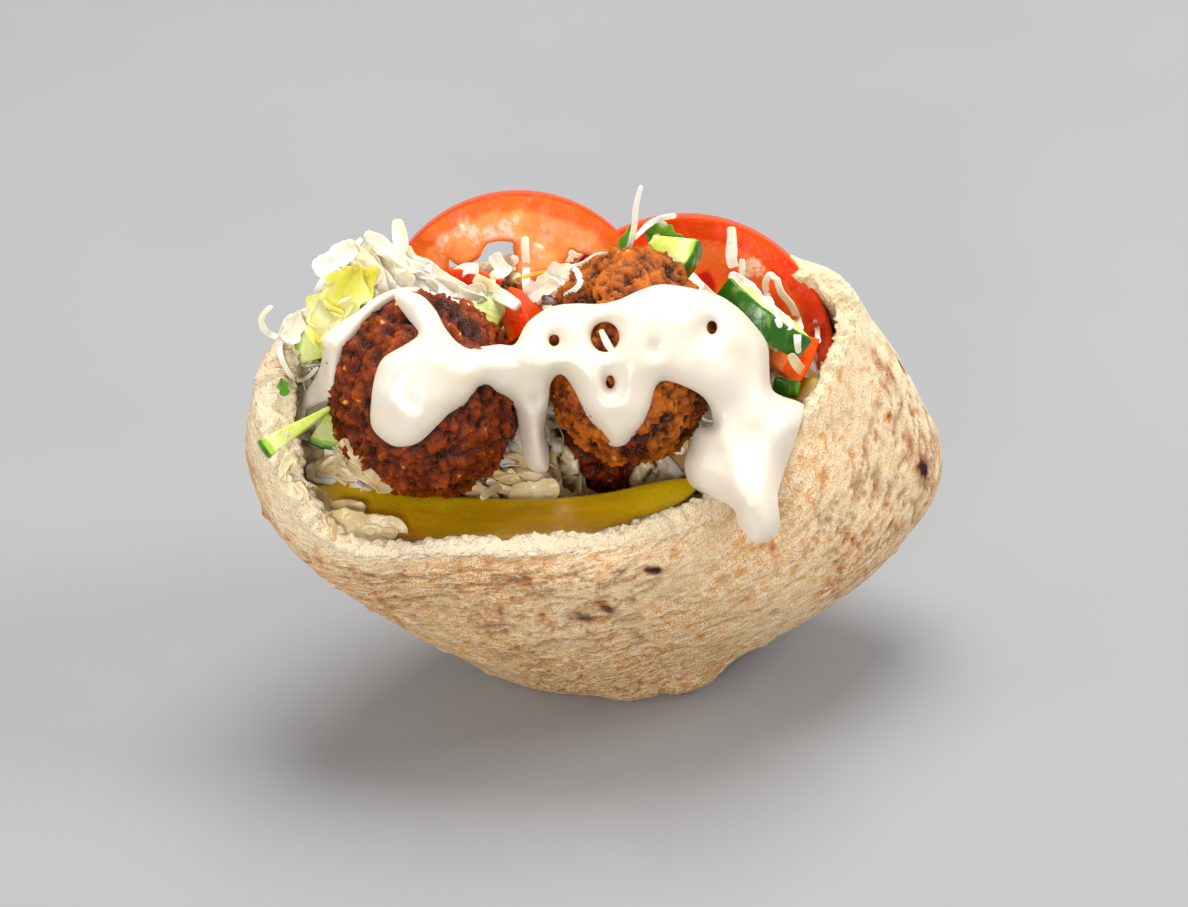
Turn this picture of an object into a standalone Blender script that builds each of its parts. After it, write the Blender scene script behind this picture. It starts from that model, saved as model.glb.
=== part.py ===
"""A falafel pita: an opened pocket of flat bread, stuffed with falafel balls, shredded
cabbage, tomato, cucumber, pickle and lettuce, with tahini sauce poured over the top.

Units are metres, +Z is up. The origin is on the flat foot that the pita stands on. The
open mouth leans towards -Y, which is the front, and +X is the right-hand end.
Lengths in the tables below are written in millimetres and multiplied by MM.
"""

import math
from collections import namedtuple

import bmesh
import bpy
import numpy as np
from mathutils import Matrix, Vector, noise

MM = 0.001

# ---------------------------------------------------------------- driving dimensions
WALL = 5.5 * MM  # thickness of the opened bread
RIM_CROWN = 1.4 * MM  # how far the torn rim stands up between crust and crumb
RIM_TEAR = 1.6 * MM  # how uneven the torn rim is
RIM_TEAR_WAVES = 3  # how many times it rises and falls on the way round, roughly
RIM_STEPS = 3
GAP = 0.45 * MM  # clearance that each piece keeps from its neighbours
EASED_EDGE = 0.4 * MM  # bevel on the edges of cut vegetables
POCKET_TURN = math.radians(12)  # the mouth is turned a little about Z
CORNER_POWER = 1.4  # over 1 draws the two ends of the pocket to a soft corner
LEFT_BLUNTING = 0.65  # how much of that the front wall loses towards the left end of the rim
DIP_TURN = math.radians(213)  # the rim sags at its front left: where, how wide and how deep
DIP_WIDTH = math.radians(25)
DIP_DEPTH = 15.5 * MM
RIBS = 38  # points around the pocket
RISES = 12  # rows from the foot to the rim
HEAP_INSET = 1.3 * MM + WALL  # from the bread's outer surface to the salad's side
HEAP_SIDE_ROWS = 6
HEAP_TOP_ROWS = 7
HEAP_LOWEST = 0.22  # the salad's underside and its highest edge, as rises up the pocket
HEAP_HIGHEST = 0.97
HEAP_EDGE_HALVINGS = 12  # steps of the search for the salad's edge

# The pocket's outer surface is a loft through these closed stations, foot first. Each has
# the reach of its left, right, front and back points, and the height of those points.
Station = namedtuple("Station", "left right front back z_left z_right z_front z_back")
POCKET = (
    Station(-16, 24, -10, 12, -0.9, -0.9, -0.9, -0.9),
    Station(-24, 34, -15, 20, -0.9, -0.9, -0.9, -0.9),
    Station(-41, 50, -24, 30, 14, 8, 9, 10),
    Station(-60, 72, -34, 38, 34, 23, 26, 32),
    Station(-75, 85, -41, 42, 55, 43, 42, 55),
    Station(-81, 77.5, -43, 40, 73, 68, 55, 78),
    Station(-78, 63, -39, 35, 90, 93, 63, 94),
)

# A falafel ball: centre, then half-sizes across, along the line it leans back on, and upright.
Ball = namedtuple("Ball", "centre half_sizes lean seed")
FALAFELS = {
    "falafel_left": Ball((-38, -12.5, 85), (21.5, 21, 24), 0, 3),
    "falafel_upper": Ball((8.5, -9, 93), (19.5, 16.5, 24), -35, 11),
    "falafel_lower": Ball((5, 12, 61.5), (20, 19.5, 19.5), 0, 7),
}
LUMP_SHARE = 0.035  # how far the crust's lumps stand out, as a share of the radius
LUMP_SCALE = 2.2

# A round slice, or a piece of one: where its middle is, the way its cut face looks, the way
# its skin looks, the slice's radius, the radius its core is cut at, its sweep and thickness.
Slice = namedtuple("Slice", "middle facing skin_side radius core sweep thickness")
TOMATOES = {
    "tomato_slice_left": Slice((-17.5, 15, 84), (0.05, -0.92, 0.38), (0, 0.4, 0.9), 33, 0, 200, 6),
    "tomato_slice_right": Slice((21.5, 16, 75), (-0.05, -0.93, 0.36), (0.6, 0.3, 0.75), 35, 0, 200, 6),
    "tomato_piece_front": Slice((-16, 3.5, 95), (-0.6, -0.6, 0.6), (0.3, -0.3, 0.9), 30, 23, 25, 9),
    "tomato_piece_back": Slice((-27.5, 12.5, 100), (0, -0.9, 0.4), (0.2, 0.3, 0.9), 22, 17.5, 34, 4),
    "tomato_piece_right": Slice((45, 4, 85), (0.2, -0.8, 0.55), (0.7, 0.2, -0.6), 25, 15, 28, 6),
}
SLICE_STEP = 12  # degrees between two points of a slice's round edge

# Seed chambers that open a tomato slice: its name, the angle from the middle of its skin side,
# and the hollow's distance from the slice's middle and its half-sizes.
Chamber = namedtuple("Chamber", "angle radius half_depth half_width")
CHAMBERS = {
    "tomato_slice_left": (Chamber(33, 15.5, 7, 6.5), Chamber(-29, 17, 5.5, 3.8)),
}
CUCUMBERS = {
    "cucumber_left_chunk": Slice((-64, -4, 93), (0.15, -0.85, 0.5), (-1, 0, 0.15), 14, 6, 40, 7),
    "cucumber_left_strip": Slice((-65, -16, 78), (0.15, -0.7, 0.7), (-0.8, -0.4, -0.35), 23, 5, 12, 4),
    "cucumber_left_lower": Slice((-60, -10, 73), (0.1, -0.8, 0.6), (-0.2, -0.4, -0.9), 13, 5, 42, 4),
    "cucumber_top_wedge": Slice((18, 8, 109.5), (-0.2, -0.6, 0.77), (0.8, -0.2, -0.5), 14, 3, 45, 6),
    "cucumber_right_slice": Slice((38.5, 2, 96), (0.62, 0.25, 0.79), (-0.1, -0.9, 0.3), 17, 7, 90, 6),
    "cucumber_right_end": Slice((44, 0, 79.5), (0.2, 0.3, 0.95), (0, -0.9, 0.3), 14, 7, 26, 4),
    "cucumber_seed_piece": Slice((-24, 4, 96), (0, -0.5, 0.85), (0, 0.6, 0.6), 12, 3, 60, 5),
}

# Pickle planks: a centre line from tip to tip, and the plank's width and thickness.
Plank = namedtuple("Plank", "line width thickness")
PICKLES = {
    "pickle_front": Plank(
        ((-70, -18, 65.5), (-50, -25, 61), (-26, -27.5, 59), (0, -27, 60.5), (24, -20, 66)), 15, 4.5
    ),
    "pickle_right": Plank(((40, -10, 70), (47, -3, 74.5), (51, 4, 79)), 8, 3.5),
}
PLANK_FACING = (0, -0.3, 0.95)
PLANK_ROWS = 13
PLANK_SIDES = 8
PLANK_TIP = 0.12  # the blunt tips' share of the full width and thickness
PLANK_FLATNESS = 0.6  # under 1 squares off the rounded section

# The lettuce leaf is a curled, ruffled sheet: its middle, the way its face looks, the way its
# side edge looks, and its width, length, thickness, ruffle and curl.
LETTUCE_MIDDLE = (-57, 0, 101)
LETTUCE_FACING = (-0.35, -0.75, 0.55)
LETTUCE_SIDE = (0.9, -0.3, 0.1)
LETTUCE_SIZE = (15, 19)
LETTUCE_THICKNESS = 2.5
LETTUCE_RUFFLE = 2.2
LETTUCE_CURL = 5
LETTUCE_GRID = 6

# The salad's top: a plane that rises to the back, and rounded mounds and one hollow on it.
HEAP_FRONT_Z = 54
HEAP_SLOPE = 0.46
Mound = namedtuple("Mound", "x y rise spread")
HEAP_MOUNDS = (
    Mound(-52, 5, 41, 11.5),
    Mound(-66, -3, 12, 8),
    Mound(-22, 10, 20, 12),
    Mound(13, 12, 31, 11),
    Mound(38, 4, 8, 14),
    Mound(2, -7, -17, 9),
)
HEAP_ROUGHNESS = 2.2
HEAP_ROUGHNESS_SCALE = 11

# The poured sauce: strokes of beads that run together, each point x, y, z and a radius.
SAUCE_STROKES = {
    "sauce_main": (
        ((-42, -10, 109, 2.5), (-38, -17, 108, 3.5), (-35, -23, 104, 5), (-37, -28, 100, 6.5)),
        ((-35, -27, 101, 6), (-40, -29, 97, 7.5), (-42, -31, 92, 7.5), (-38, -30, 93, 6)),
        ((-36, -28, 100, 7), (-30, -27, 99, 6), (-22, -24, 99.5, 5), (-14, -23, 101, 6)),
        ((-15, -23, 103, 5.5), (-14, -24, 96, 5), (-13.5, -24, 87, 4), (-12.5, -23, 77, 3.5)),
        ((-14, -23, 102, 6), (-8, -18, 104, 6.5), (2, -18, 106, 7), (12, -18, 107, 7.5), (22, -14, 104, 7.5)),
        ((22, -14, 103, 7.5), (29, -10, 98, 7.5), (33, -12, 89, 7.5), (33, -17, 82, 8)),
        ((-6, -20, 101, 6.5), (0, -25, 96, 6), (5, -27, 91, 7), (6, -27, 88, 6.5)),
        ((2, -23, 101, 6.5), (12, -23, 101, 7), (21, -20, 97, 8), (28, -17, 91, 8)),
        ((33, -17, 83, 8.5), (30, -23, 77, 8), (26, -27, 74, 6.5), (32, -29, 73, 7.5)),
        ((33, -22, 79, 8), (39, -20, 79, 6.5), (44, -15, 82, 4)),
        ((33, -28, 76, 7.5), (35.5, -37, 73, 6.5), (37, -39.5, 67, 5), (37, -39.5, 63, 4.5)),
    ),
    "sauce_left": (
        ((-43, -5, 109, 4), (-50, -7, 106, 4.5), (-57, -8, 99, 5.5), (-61, -9, 91, 5.5), (-63, -11, 83, 4)),
    ),
}
SAUCE_RESOLUTION = 4.3
SAUCE_THRESHOLD = 0.4
SAUCE_SPREAD = 1.25  # from a bead's radius to its reach of influence
SAUCE_BEADS = 5  # from one point of a stroke to the next

MATERIALS = {
    "bread": ((0.78, 0.60, 0.38), 0.85),
    "falafel": ((0.22, 0.07, 0.02), 0.55),
    "tomato": ((0.80, 0.13, 0.03), 0.25),
    "cucumber": ((0.35, 0.50, 0.08), 0.35),
    "pickle": ((0.35, 0.24, 0.01), 0.30),
    "lettuce": ((0.72, 0.78, 0.25), 0.45),
    "salad": ((0.90, 0.85, 0.62), 0.40),
    "sauce": ((0.93, 0.90, 0.82), 0.25),
}


# ---------------------------------------------------------------- helpers
def clear_scene():
    for obj in list(bpy.data.objects):
        bpy.data.objects.remove(obj)


def new_collection(name):
    collection = bpy.data.collections.new(name)
    bpy.context.scene.collection.children.link(collection)
    return collection


def make_material(name, colour, roughness):
    material = bpy.data.materials.new(name)
    material.use_nodes = True
    shader = material.node_tree.nodes["Principled BSDF"]
    shader.inputs["Base Color"].default_value = (*colour, 1)
    shader.inputs["Roughness"].default_value = roughness
    shader.inputs["Metallic"].default_value = 0
    return material


def add_object(name, data, material, collection):
    obj = bpy.data.objects.new(name, data)
    collection.objects.link(obj)
    if material:
        data.materials.append(material)
    return obj


def hidden(cutter):
    cutter.hide_render = True
    cutter.display_type = "WIRE"
    return cutter


def mesh_from(bm, name):
    bmesh.ops.recalc_face_normals(bm, faces=bm.faces)
    mesh = bpy.data.meshes.new(name)
    bm.to_mesh(mesh)
    bm.free()
    return mesh


def evaluated_bmesh(obj):
    """The object's mesh in world space with its modifiers applied."""
    bpy.context.view_layer.update()
    graph = bpy.context.evaluated_depsgraph_get()
    bm = bmesh.new()
    bm.from_object(obj, graph)
    bm.transform(obj.matrix_world)
    return bm


def loose_bodies(bm):
    """The mesh's separate bodies, each a set of its vertices."""
    remaining = set(bm.verts)
    bodies = []
    while remaining:
        stack = [remaining.pop()]
        body = set(stack)
        while stack:
            for edge in stack.pop().link_edges:
                for vert in edge.verts:
                    if vert in remaining:
                        remaining.discard(vert)
                        body.add(vert)
                        stack.append(vert)
        bodies.append(body)
    return bodies


def body_volume(bm, body):
    """Volume of one body of a triangulated mesh."""
    total = 0.0
    for face in bm.faces:
        a, b, c = face.verts
        if a in body:
            total += a.co.dot(b.co.cross(c.co)) / 6
    return abs(total)


def keep_largest_body(bm):
    """Deletes the loose crumbs that a cut can leave beside the main body."""
    bodies = loose_bodies(bm)
    if len(bodies) > 1:
        largest = max(bodies, key=lambda body: body_volume(bm, body))
        bmesh.ops.delete(bm, geom=[v for v in bm.verts if v not in largest], context="VERTS")


def grown_cutter(obj, helpers):
    """A hidden copy of obj, GAP larger all round, to cut room for obj out of another piece."""
    bm = evaluated_bmesh(obj)
    bm.normal_update()
    for vert in bm.verts:
        vert.co += vert.normal * GAP
    return hidden(add_object("room_for_" + obj.name, mesh_from(bm, obj.name), None, helpers))


def cut(obj, cutters):
    """Cuts each cutter out of obj, and keeps the largest body that is left."""
    for cutter in cutters:
        modifier = obj.modifiers.new("room", "BOOLEAN")
        modifier.operation = "DIFFERENCE"
        modifier.solver = "MANIFOLD"  # EXACT leaves torn edges where round pieces graze each other
        modifier.object = cutter
    bm = evaluated_bmesh(obj)
    bmesh.ops.triangulate(bm, faces=bm.faces)
    keep_largest_body(bm)
    obj.modifiers.clear()
    obj.matrix_world = Matrix.Identity(4)
    bm.to_mesh(obj.data)
    bm.free()


def placed(middle, facing, skin_side):
    """A matrix whose local Z looks along facing, and whose local X leans to skin_side."""
    z_axis = Vector(facing).normalized()
    y_axis = z_axis.cross(Vector(skin_side)).normalized()
    x_axis = y_axis.cross(z_axis)
    turn = Matrix((x_axis, y_axis, z_axis)).transposed().to_4x4()
    return Matrix.Translation(Vector(middle) * MM) @ turn


def smooth_through(values, t):
    """Catmull-Rom values at t, from 0 to 1, through rows of evenly spaced numbers."""
    rows = np.asarray(values, float)
    last = len(rows) - 1
    padded = np.vstack([2 * rows[0] - rows[1], rows, 2 * rows[-1] - rows[-2]])
    place = min(max(t, 0.0), 1.0) * last
    i = min(int(place), last - 1)
    f = place - i
    a, b, c, d = padded[i : i + 4]
    return 0.5 * (2 * b + (c - a) * f + (2 * a - 5 * b + 4 * c - d) * f**2 + (3 * b - a - 3 * c + d) * f**3)


# ---------------------------------------------------------------- the bread
def pocket_point(turn, rise, depth=0.0):
    """A point of the pocket: turn goes round from +X, rise from 0 at the foot to 1 at the rim.

    depth is how far inside the bread's outer surface the point lies. No point is below the
    floor, which is what presses the foot flat.
    """
    s = Station(*(smooth_through(POCKET, rise) * MM))
    left, right = s.left + depth, s.right - depth
    front, back = s.front + depth, s.back - depth
    turn %= 2 * math.pi
    across, along = math.cos(turn), math.sin(turn)
    leftness = (1 - across) / 2 if along < 0 else 0
    rounded = math.copysign(abs(along) ** (CORNER_POWER - LEFT_BLUNTING * leftness * rise**2), along)
    x = (right + left) / 2 + (right - left) / 2 * across
    y = (back + front) / 2 * abs(rounded) + (back - front) / 2 * rounded
    z = (
        (s.z_left + s.z_right + s.z_front + s.z_back) / 4
        + (s.z_right - s.z_left) / 2 * across
        + (s.z_back - s.z_front) / 2 * along
        + (s.z_left + s.z_right - s.z_front - s.z_back) / 4 * math.cos(2 * turn)
    )
    z -= DIP_DEPTH * math.exp(-(((turn - DIP_TURN) / DIP_WIDTH) ** 2)) * rise**3
    z = max(z, 0.0) + depth * (1 - rise**0.7)
    return Matrix.Rotation(POCKET_TURN, 3, "Z") @ Vector((x, y, z))


def rim_point(turn, across_wall):
    """A point on top of the torn rim, from 0 at the crust to 1 at the crumb."""
    crown = RIM_CROWN * math.sin(math.pi * across_wall)
    tear = RIM_TEAR * noise.noise(RIM_TEAR_WAVES * Vector((math.cos(turn), math.sin(turn), 1)))
    return pocket_point(turn, 1, WALL * across_wall) + Vector((0, 0, crown + tear * across_wall))


def ring_of(bm, point_at):
    """Points once round the pocket, each from its turn."""
    return [bm.verts.new(point_at(2 * math.pi * i / RIBS)) for i in range(RIBS)]


def bridge(bm, lower, upper):
    """A band of faces between two closed rings of as many points."""
    for i in range(len(lower)):
        j = (i + 1) % len(lower)
        bm.faces.new((lower[i], lower[j], upper[j], upper[i]))


def close_with_fan(bm, ring):
    """Triangles from the ring to a point in its middle."""
    middle = bm.verts.new(sum((v.co for v in ring), Vector()) / len(ring))
    for i in range(RIBS):
        bm.faces.new((middle, ring[i], ring[(i + 1) % RIBS]))


def make_bread(material, collection):
    """The pocket: up its crust from the foot, over the torn rim, and down its crumb inside."""
    bm = bmesh.new()
    rings = [ring_of(bm, lambda turn, k=k: pocket_point(turn, k / RISES)) for k in range(RISES)]
    rings += [ring_of(bm, lambda turn, k=k: rim_point(turn, k / RIM_STEPS)) for k in range(RIM_STEPS + 1)]
    inner_rises = [k / RISES for k in range(RISES - 1, 1, -1)]
    rings += [ring_of(bm, lambda turn, r=r: pocket_point(turn, r, WALL)) for r in inner_rises]
    for lower, upper in zip(rings, rings[1:]):
        bridge(bm, lower, upper)
    close_with_fan(bm, rings[0])
    close_with_fan(bm, rings[-1])
    return add_object("pita_bread", mesh_from(bm, "pita_bread"), material, collection)


# ---------------------------------------------------------------- the fillings
def make_falafel(name, ball, material, collection):
    """A fried ball: a sphere drawn to its three half-sizes, with a lumpy crust."""
    bm = bmesh.new()
    bmesh.ops.create_uvsphere(bm, u_segments=16, v_segments=11, radius=1)
    for vert in bm.verts:
        lump = noise.fractal(vert.co * LUMP_SCALE + Vector((ball.seed, 0, 0)), 0.8, 2.0, 3)
        vert.co *= 1 + LUMP_SHARE * lump
    shape = Matrix.Diagonal((*(Vector(ball.half_sizes) * MM), 1))
    lean = Matrix.Rotation(math.radians(ball.lean), 4, "X")
    bm.transform(Matrix.Translation(Vector(ball.centre) * MM) @ lean @ shape)
    return add_object(name, mesh_from(bm, name), material, collection)


def slice_outline(piece):
    """The outline of a piece of a round slice, skin side to +X, as points about its middle."""
    sweep = math.radians(piece.sweep)
    steps = max(2, round(piece.sweep / SLICE_STEP))
    angles = [sweep * (i / steps - 0.5) for i in range(steps + 1)]
    rim = [Vector((math.cos(a), math.sin(a))) for a in angles]
    if not piece.core:
        return [point * piece.radius for point in rim]
    middle = Vector(((piece.radius + piece.core) / 2, 0))
    skin = [point * piece.radius - middle for point in rim]
    inner = [point * piece.core - middle for point in reversed(rim)]
    return skin + inner


def make_slice(name, piece, material, collection):
    """A slice or a piece of one: its outline given its thickness, with its edges eased."""
    bm = bmesh.new()
    base = -piece.thickness / 2
    face = bm.faces.new([bm.verts.new((x * MM, y * MM, base * MM)) for x, y in slice_outline(piece)])
    extruded = bmesh.ops.extrude_face_region(bm, geom=[face])
    top = [v for v in extruded["geom"] if isinstance(v, bmesh.types.BMVert)]
    bmesh.ops.translate(bm, verts=top, vec=(0, 0, piece.thickness * MM))
    obj = add_object(name, mesh_from(bm, name), material, collection)
    obj.matrix_world = placed(piece.middle, piece.facing, piece.skin_side)
    easing = obj.modifiers.new("eased_edges", "BEVEL")
    easing.width = EASED_EDGE
    easing.segments = 1
    easing.limit_method = "ANGLE"
    easing.angle_limit = math.radians(40)
    return obj


def seed_chamber(name, piece, chamber, helpers):
    """A rounded hollow through a tomato slice, where the seeds have dropped out."""
    bm = bmesh.new()
    depth = piece.thickness * 3
    bmesh.ops.create_cone(bm, cap_ends=True, segments=10, radius1=1, radius2=1, depth=depth)
    bmesh.ops.scale(bm, verts=bm.verts, vec=(chamber.half_depth, chamber.half_width, 1))
    bmesh.ops.translate(bm, verts=bm.verts, vec=(chamber.radius, 0, 0))
    bmesh.ops.rotate(bm, verts=bm.verts, matrix=Matrix.Rotation(math.radians(chamber.angle), 3, "Z"))
    bmesh.ops.scale(bm, verts=bm.verts, vec=(MM, MM, MM))
    cutter = add_object(name + "_chamber", mesh_from(bm, name), None, helpers)
    cutter.matrix_world = placed(piece.middle, piece.facing, piece.skin_side)
    return hidden(cutter)


def make_pickle(name, plank, material, collection):
    """A lengthwise pickle slice: a plank with pointed ends that bends along its centre line."""
    facing = Vector(PLANK_FACING).normalized()
    bm = bmesh.new()
    rings = []
    for k in range(PLANK_ROWS):
        t = k / (PLANK_ROWS - 1)
        centre = Vector(smooth_through(plank.line, t))
        ahead = Vector(smooth_through(plank.line, t + 0.02))
        behind = Vector(smooth_through(plank.line, t - 0.02))
        across = facing.cross(ahead - behind).normalized()
        taper = max(PLANK_TIP, math.sqrt(max(0.0, 1 - (2 * t - 1) ** 2)))
        ring = []
        for i in range(PLANK_SIDES):
            a = 2 * math.pi * (i + 0.5) / PLANK_SIDES
            flat = math.copysign(abs(math.sin(a)) ** PLANK_FLATNESS, math.sin(a))
            offset = across * math.cos(a) * plank.width / 2 + facing * flat * plank.thickness / 2
            ring.append(bm.verts.new((centre + offset * taper) * MM))
        rings.append(ring)
    for lower, upper in zip(rings, rings[1:]):
        bridge(bm, lower, upper)
    bm.faces.new(rings[0])
    bm.faces.new(rings[-1])
    return add_object(name, mesh_from(bm, name), material, collection)


def make_lettuce(material, collection):
    """A torn piece of leaf: a ruffled sheet given its thickness."""
    bm = bmesh.new()
    bmesh.ops.create_grid(bm, x_segments=LETTUCE_GRID, y_segments=LETTUCE_GRID, size=0.5)
    for vert in bm.verts:
        x, y = vert.co.x, vert.co.y
        narrowing = 1 - 0.5 * (y + 0.5) ** 2
        ruffle = LETTUCE_RUFFLE * math.sin(9 * x + 2 * y) * (0.4 + abs(x)) + LETTUCE_CURL * x * x
        vert.co = Vector((x * LETTUCE_SIZE[0] * narrowing, y * LETTUCE_SIZE[1], ruffle)) * MM
    leaf = add_object("lettuce_leaf", mesh_from(bm, "lettuce_leaf"), material, collection)
    leaf.matrix_world = placed(LETTUCE_MIDDLE, LETTUCE_FACING, LETTUCE_SIDE)
    shell = leaf.modifiers.new("thickness", "SOLIDIFY")
    shell.thickness = LETTUCE_THICKNESS * MM
    shell.offset = 0
    return leaf


# ---------------------------------------------------------------- the salad and the sauce
def heap_height(x, y):
    """Height of the salad's top over a point of the plan, in metres."""
    across, back = x / MM, y / MM
    height = HEAP_FRONT_Z + HEAP_SLOPE * (back + 30)
    for mound in HEAP_MOUNDS:
        distance = math.hypot(across - mound.x, back - mound.y)
        height += mound.rise * math.exp(-(distance**2) / (2 * mound.spread**2))
    place = Vector((across, back, 4)) / HEAP_ROUGHNESS_SCALE
    height += HEAP_ROUGHNESS * noise.fractal(place, 1.0, 2.0, 2)
    return height * MM


def heap_edge(turn):
    """How far up the wall the salad reaches: the rise where its top meets the pocket's side."""
    low, high = HEAP_LOWEST, HEAP_HIGHEST
    for _ in range(HEAP_EDGE_HALVINGS):
        middle = (low + high) / 2
        point = pocket_point(turn, middle, HEAP_INSET)
        if point.z < heap_height(point.x, point.y):
            low = middle
        else:
            high = middle
    return low


def make_heap(material, collection):
    """The shredded salad: it fills the pocket and rises out of it in uneven mounds."""
    bm = bmesh.new()

    def side_point(turn, share):
        rise = HEAP_LOWEST + (heap_edge(turn) - HEAP_LOWEST) * share
        return pocket_point(turn, rise, HEAP_INSET)

    def top_point(turn, inwards):
        edge = side_point(turn, 1)
        x, y = edge.x * (1 - inwards), edge.y * (1 - inwards)
        return Vector((x, y, heap_height(x, y)))

    shares = [k / HEAP_SIDE_ROWS for k in range(HEAP_SIDE_ROWS + 1)]
    rings = [ring_of(bm, lambda turn, k=k: side_point(turn, k)) for k in shares]
    inward_steps = [(k + 0.4) / HEAP_TOP_ROWS for k in range(HEAP_TOP_ROWS)]
    rings += [ring_of(bm, lambda turn, k=k: top_point(turn, k)) for k in inward_steps]
    for lower, upper in zip(rings, rings[1:]):
        bridge(bm, lower, upper)
    close_with_fan(bm, rings[0])
    close_with_fan(bm, rings[-1])
    return add_object("salad_heap", mesh_from(bm, "salad_heap"), material, collection)


def make_sauce(name, strokes, material, collection, margin=0.0):
    """Thick poured sauce: balls of it strung along each stroke, run together.

    margin makes every ball larger, for a cutter that leaves room for the sauce.
    """
    blobs = bpy.data.metaballs.new(name)
    blobs.resolution = SAUCE_RESOLUTION * MM
    blobs.render_resolution = SAUCE_RESOLUTION * MM
    blobs.threshold = SAUCE_THRESHOLD
    for stroke in strokes:
        beads = SAUCE_BEADS * (len(stroke) - 1)
        for k in range(beads + 1):
            x, y, z, radius = smooth_through(stroke, k / beads)
            bead = blobs.elements.new()
            bead.co = Vector((x, y, z)) * MM
            bead.radius = (radius * MM + margin) * SAUCE_SPREAD
    moulded = bpy.data.objects.new(name + "_blobs", blobs)
    collection.objects.link(moulded)
    bpy.context.view_layer.update()
    graph = bpy.context.evaluated_depsgraph_get()
    mesh = bpy.data.meshes.new_from_object(moulded.evaluated_get(graph))
    bpy.data.objects.remove(moulded)
    return add_object(name, mesh, material, collection)


def main():
    clear_scene()
    parts = new_collection("falafel_pita")
    helpers = new_collection("helpers")
    helpers.hide_render = True
    materials = {name: make_material(name, *look) for name, look in MATERIALS.items()}

    bread = make_bread(materials["bread"], parts)
    cutters = [grown_cutter(bread, helpers)]

    def settle(obj):
        """Cuts room in obj for all the pieces before it, then joins it to them."""
        room = grown_cutter(obj, helpers)
        cut(obj, cutters)
        cutters.append(room)

    for name, ball in FALAFELS.items():
        settle(make_falafel(name, ball, materials["falafel"], parts))
    for name, piece in TOMATOES.items():
        tomato = make_slice(name, piece, materials["tomato"], parts)
        cut(tomato, [seed_chamber(name, piece, chamber, helpers) for chamber in CHAMBERS.get(name, ())])
        settle(tomato)
    for name, piece in CUCUMBERS.items():
        settle(make_slice(name, piece, materials["cucumber"], parts))
    for name, plank in PICKLES.items():
        settle(make_pickle(name, plank, materials["pickle"], parts))
    settle(make_lettuce(materials["lettuce"], parts))
    for name, strokes in SAUCE_STROKES.items():
        cut(make_sauce(name, strokes, materials["sauce"], parts), cutters)
        cutters.append(hidden(make_sauce("room_for_" + name, strokes, None, helpers, 2 * GAP)))
    cut(make_heap(materials["salad"], parts), cutters)


if __name__ == "__main__":
    main()
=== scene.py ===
"""The looks of a falafel pita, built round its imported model.

An opened pocket of flat bread stands on its flattened foot. Out of its mouth, which leans
towards -Y, rise falafel balls, shredded cabbage, tomato, cucumber, pickle and lettuce, with
tahini sauce poured over them. Sizes in the tables are millimetres, times MM to metres.
"""

import itertools
import logging
import math
from dataclasses import dataclass, field
from enum import Enum
from typing import Callable, Optional, Sequence

import bmesh
import bpy
import numpy as np
from mathutils import Matrix, Vector
from mathutils.bvhtree import BVHTree


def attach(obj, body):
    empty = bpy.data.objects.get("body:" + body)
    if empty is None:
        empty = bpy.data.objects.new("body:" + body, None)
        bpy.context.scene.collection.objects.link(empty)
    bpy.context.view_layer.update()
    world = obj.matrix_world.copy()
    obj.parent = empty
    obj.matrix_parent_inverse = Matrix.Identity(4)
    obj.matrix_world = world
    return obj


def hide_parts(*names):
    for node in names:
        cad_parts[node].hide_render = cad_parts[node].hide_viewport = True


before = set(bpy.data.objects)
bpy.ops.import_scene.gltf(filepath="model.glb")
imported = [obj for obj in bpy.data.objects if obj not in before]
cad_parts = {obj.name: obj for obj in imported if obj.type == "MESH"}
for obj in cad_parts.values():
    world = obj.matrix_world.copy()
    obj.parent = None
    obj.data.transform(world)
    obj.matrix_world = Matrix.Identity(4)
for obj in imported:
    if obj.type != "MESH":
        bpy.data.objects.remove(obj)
log = logging.getLogger("falafel_pita")

MM = 0.001
BODY = "root"
TAU = 2 * math.pi

Point = tuple[float, float, float]
Spot = tuple[float, float]
Array = np.ndarray
Form = tuple[Array, list[tuple[int, ...]]]  # a mesh's points and faces
Thing = bpy.types.Object
Material = bpy.types.Material
Tree = bpy.types.NodeTree
Socket = bpy.types.NodeSocket
Inputs = dict[str, object]  # a shader's inputs, by their names


# ---------------------------------------------------------------- numbers and noise
def random_of(cells: Array, seed: int) -> Array:
    """Even random numbers for whole-number lattice places.

    Args:
        cells: whole numbers, with x, y, z in the last axis.
        seed: picks another set of numbers.

    Returns:
        One number from 0 to 1 for each place.
    """
    x, y, z = (cells[..., i].astype(np.int64).astype(np.uint32) for i in range(3))
    mixed = (x * np.uint32(73856093)) ^ (y * np.uint32(19349663)) ^ (z * np.uint32(83492791))
    mixed = mixed ^ np.uint32((seed * 2654435761) & 0xFFFFFFFF)
    mixed = (mixed ^ (mixed >> np.uint32(13))) * np.uint32(1274126177)
    mixed = (mixed ^ (mixed >> np.uint32(16))) * np.uint32(2246822519)
    return (mixed ^ (mixed >> np.uint32(15))).astype(np.float64) / 4294967295.0


def soft_noise(points: Array, size: float, seed: int) -> Array:
    """Smooth noise from -1 to 1 whose lumps are about one size across."""
    places = points / size
    low = np.floor(places)
    part = places - low
    fade = part * part * part * (part * (part * 6 - 15) + 10)
    total = np.zeros(points.shape[:-1])
    for corner in itertools.product((0, 1), repeat=3):
        weight = np.ones(points.shape[:-1])
        for axis, step in enumerate(corner):
            weight = weight * (fade[..., axis] if step else 1 - fade[..., axis])
        total += weight * random_of(low + np.array(corner), seed)
    return total * 2 - 1


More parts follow.
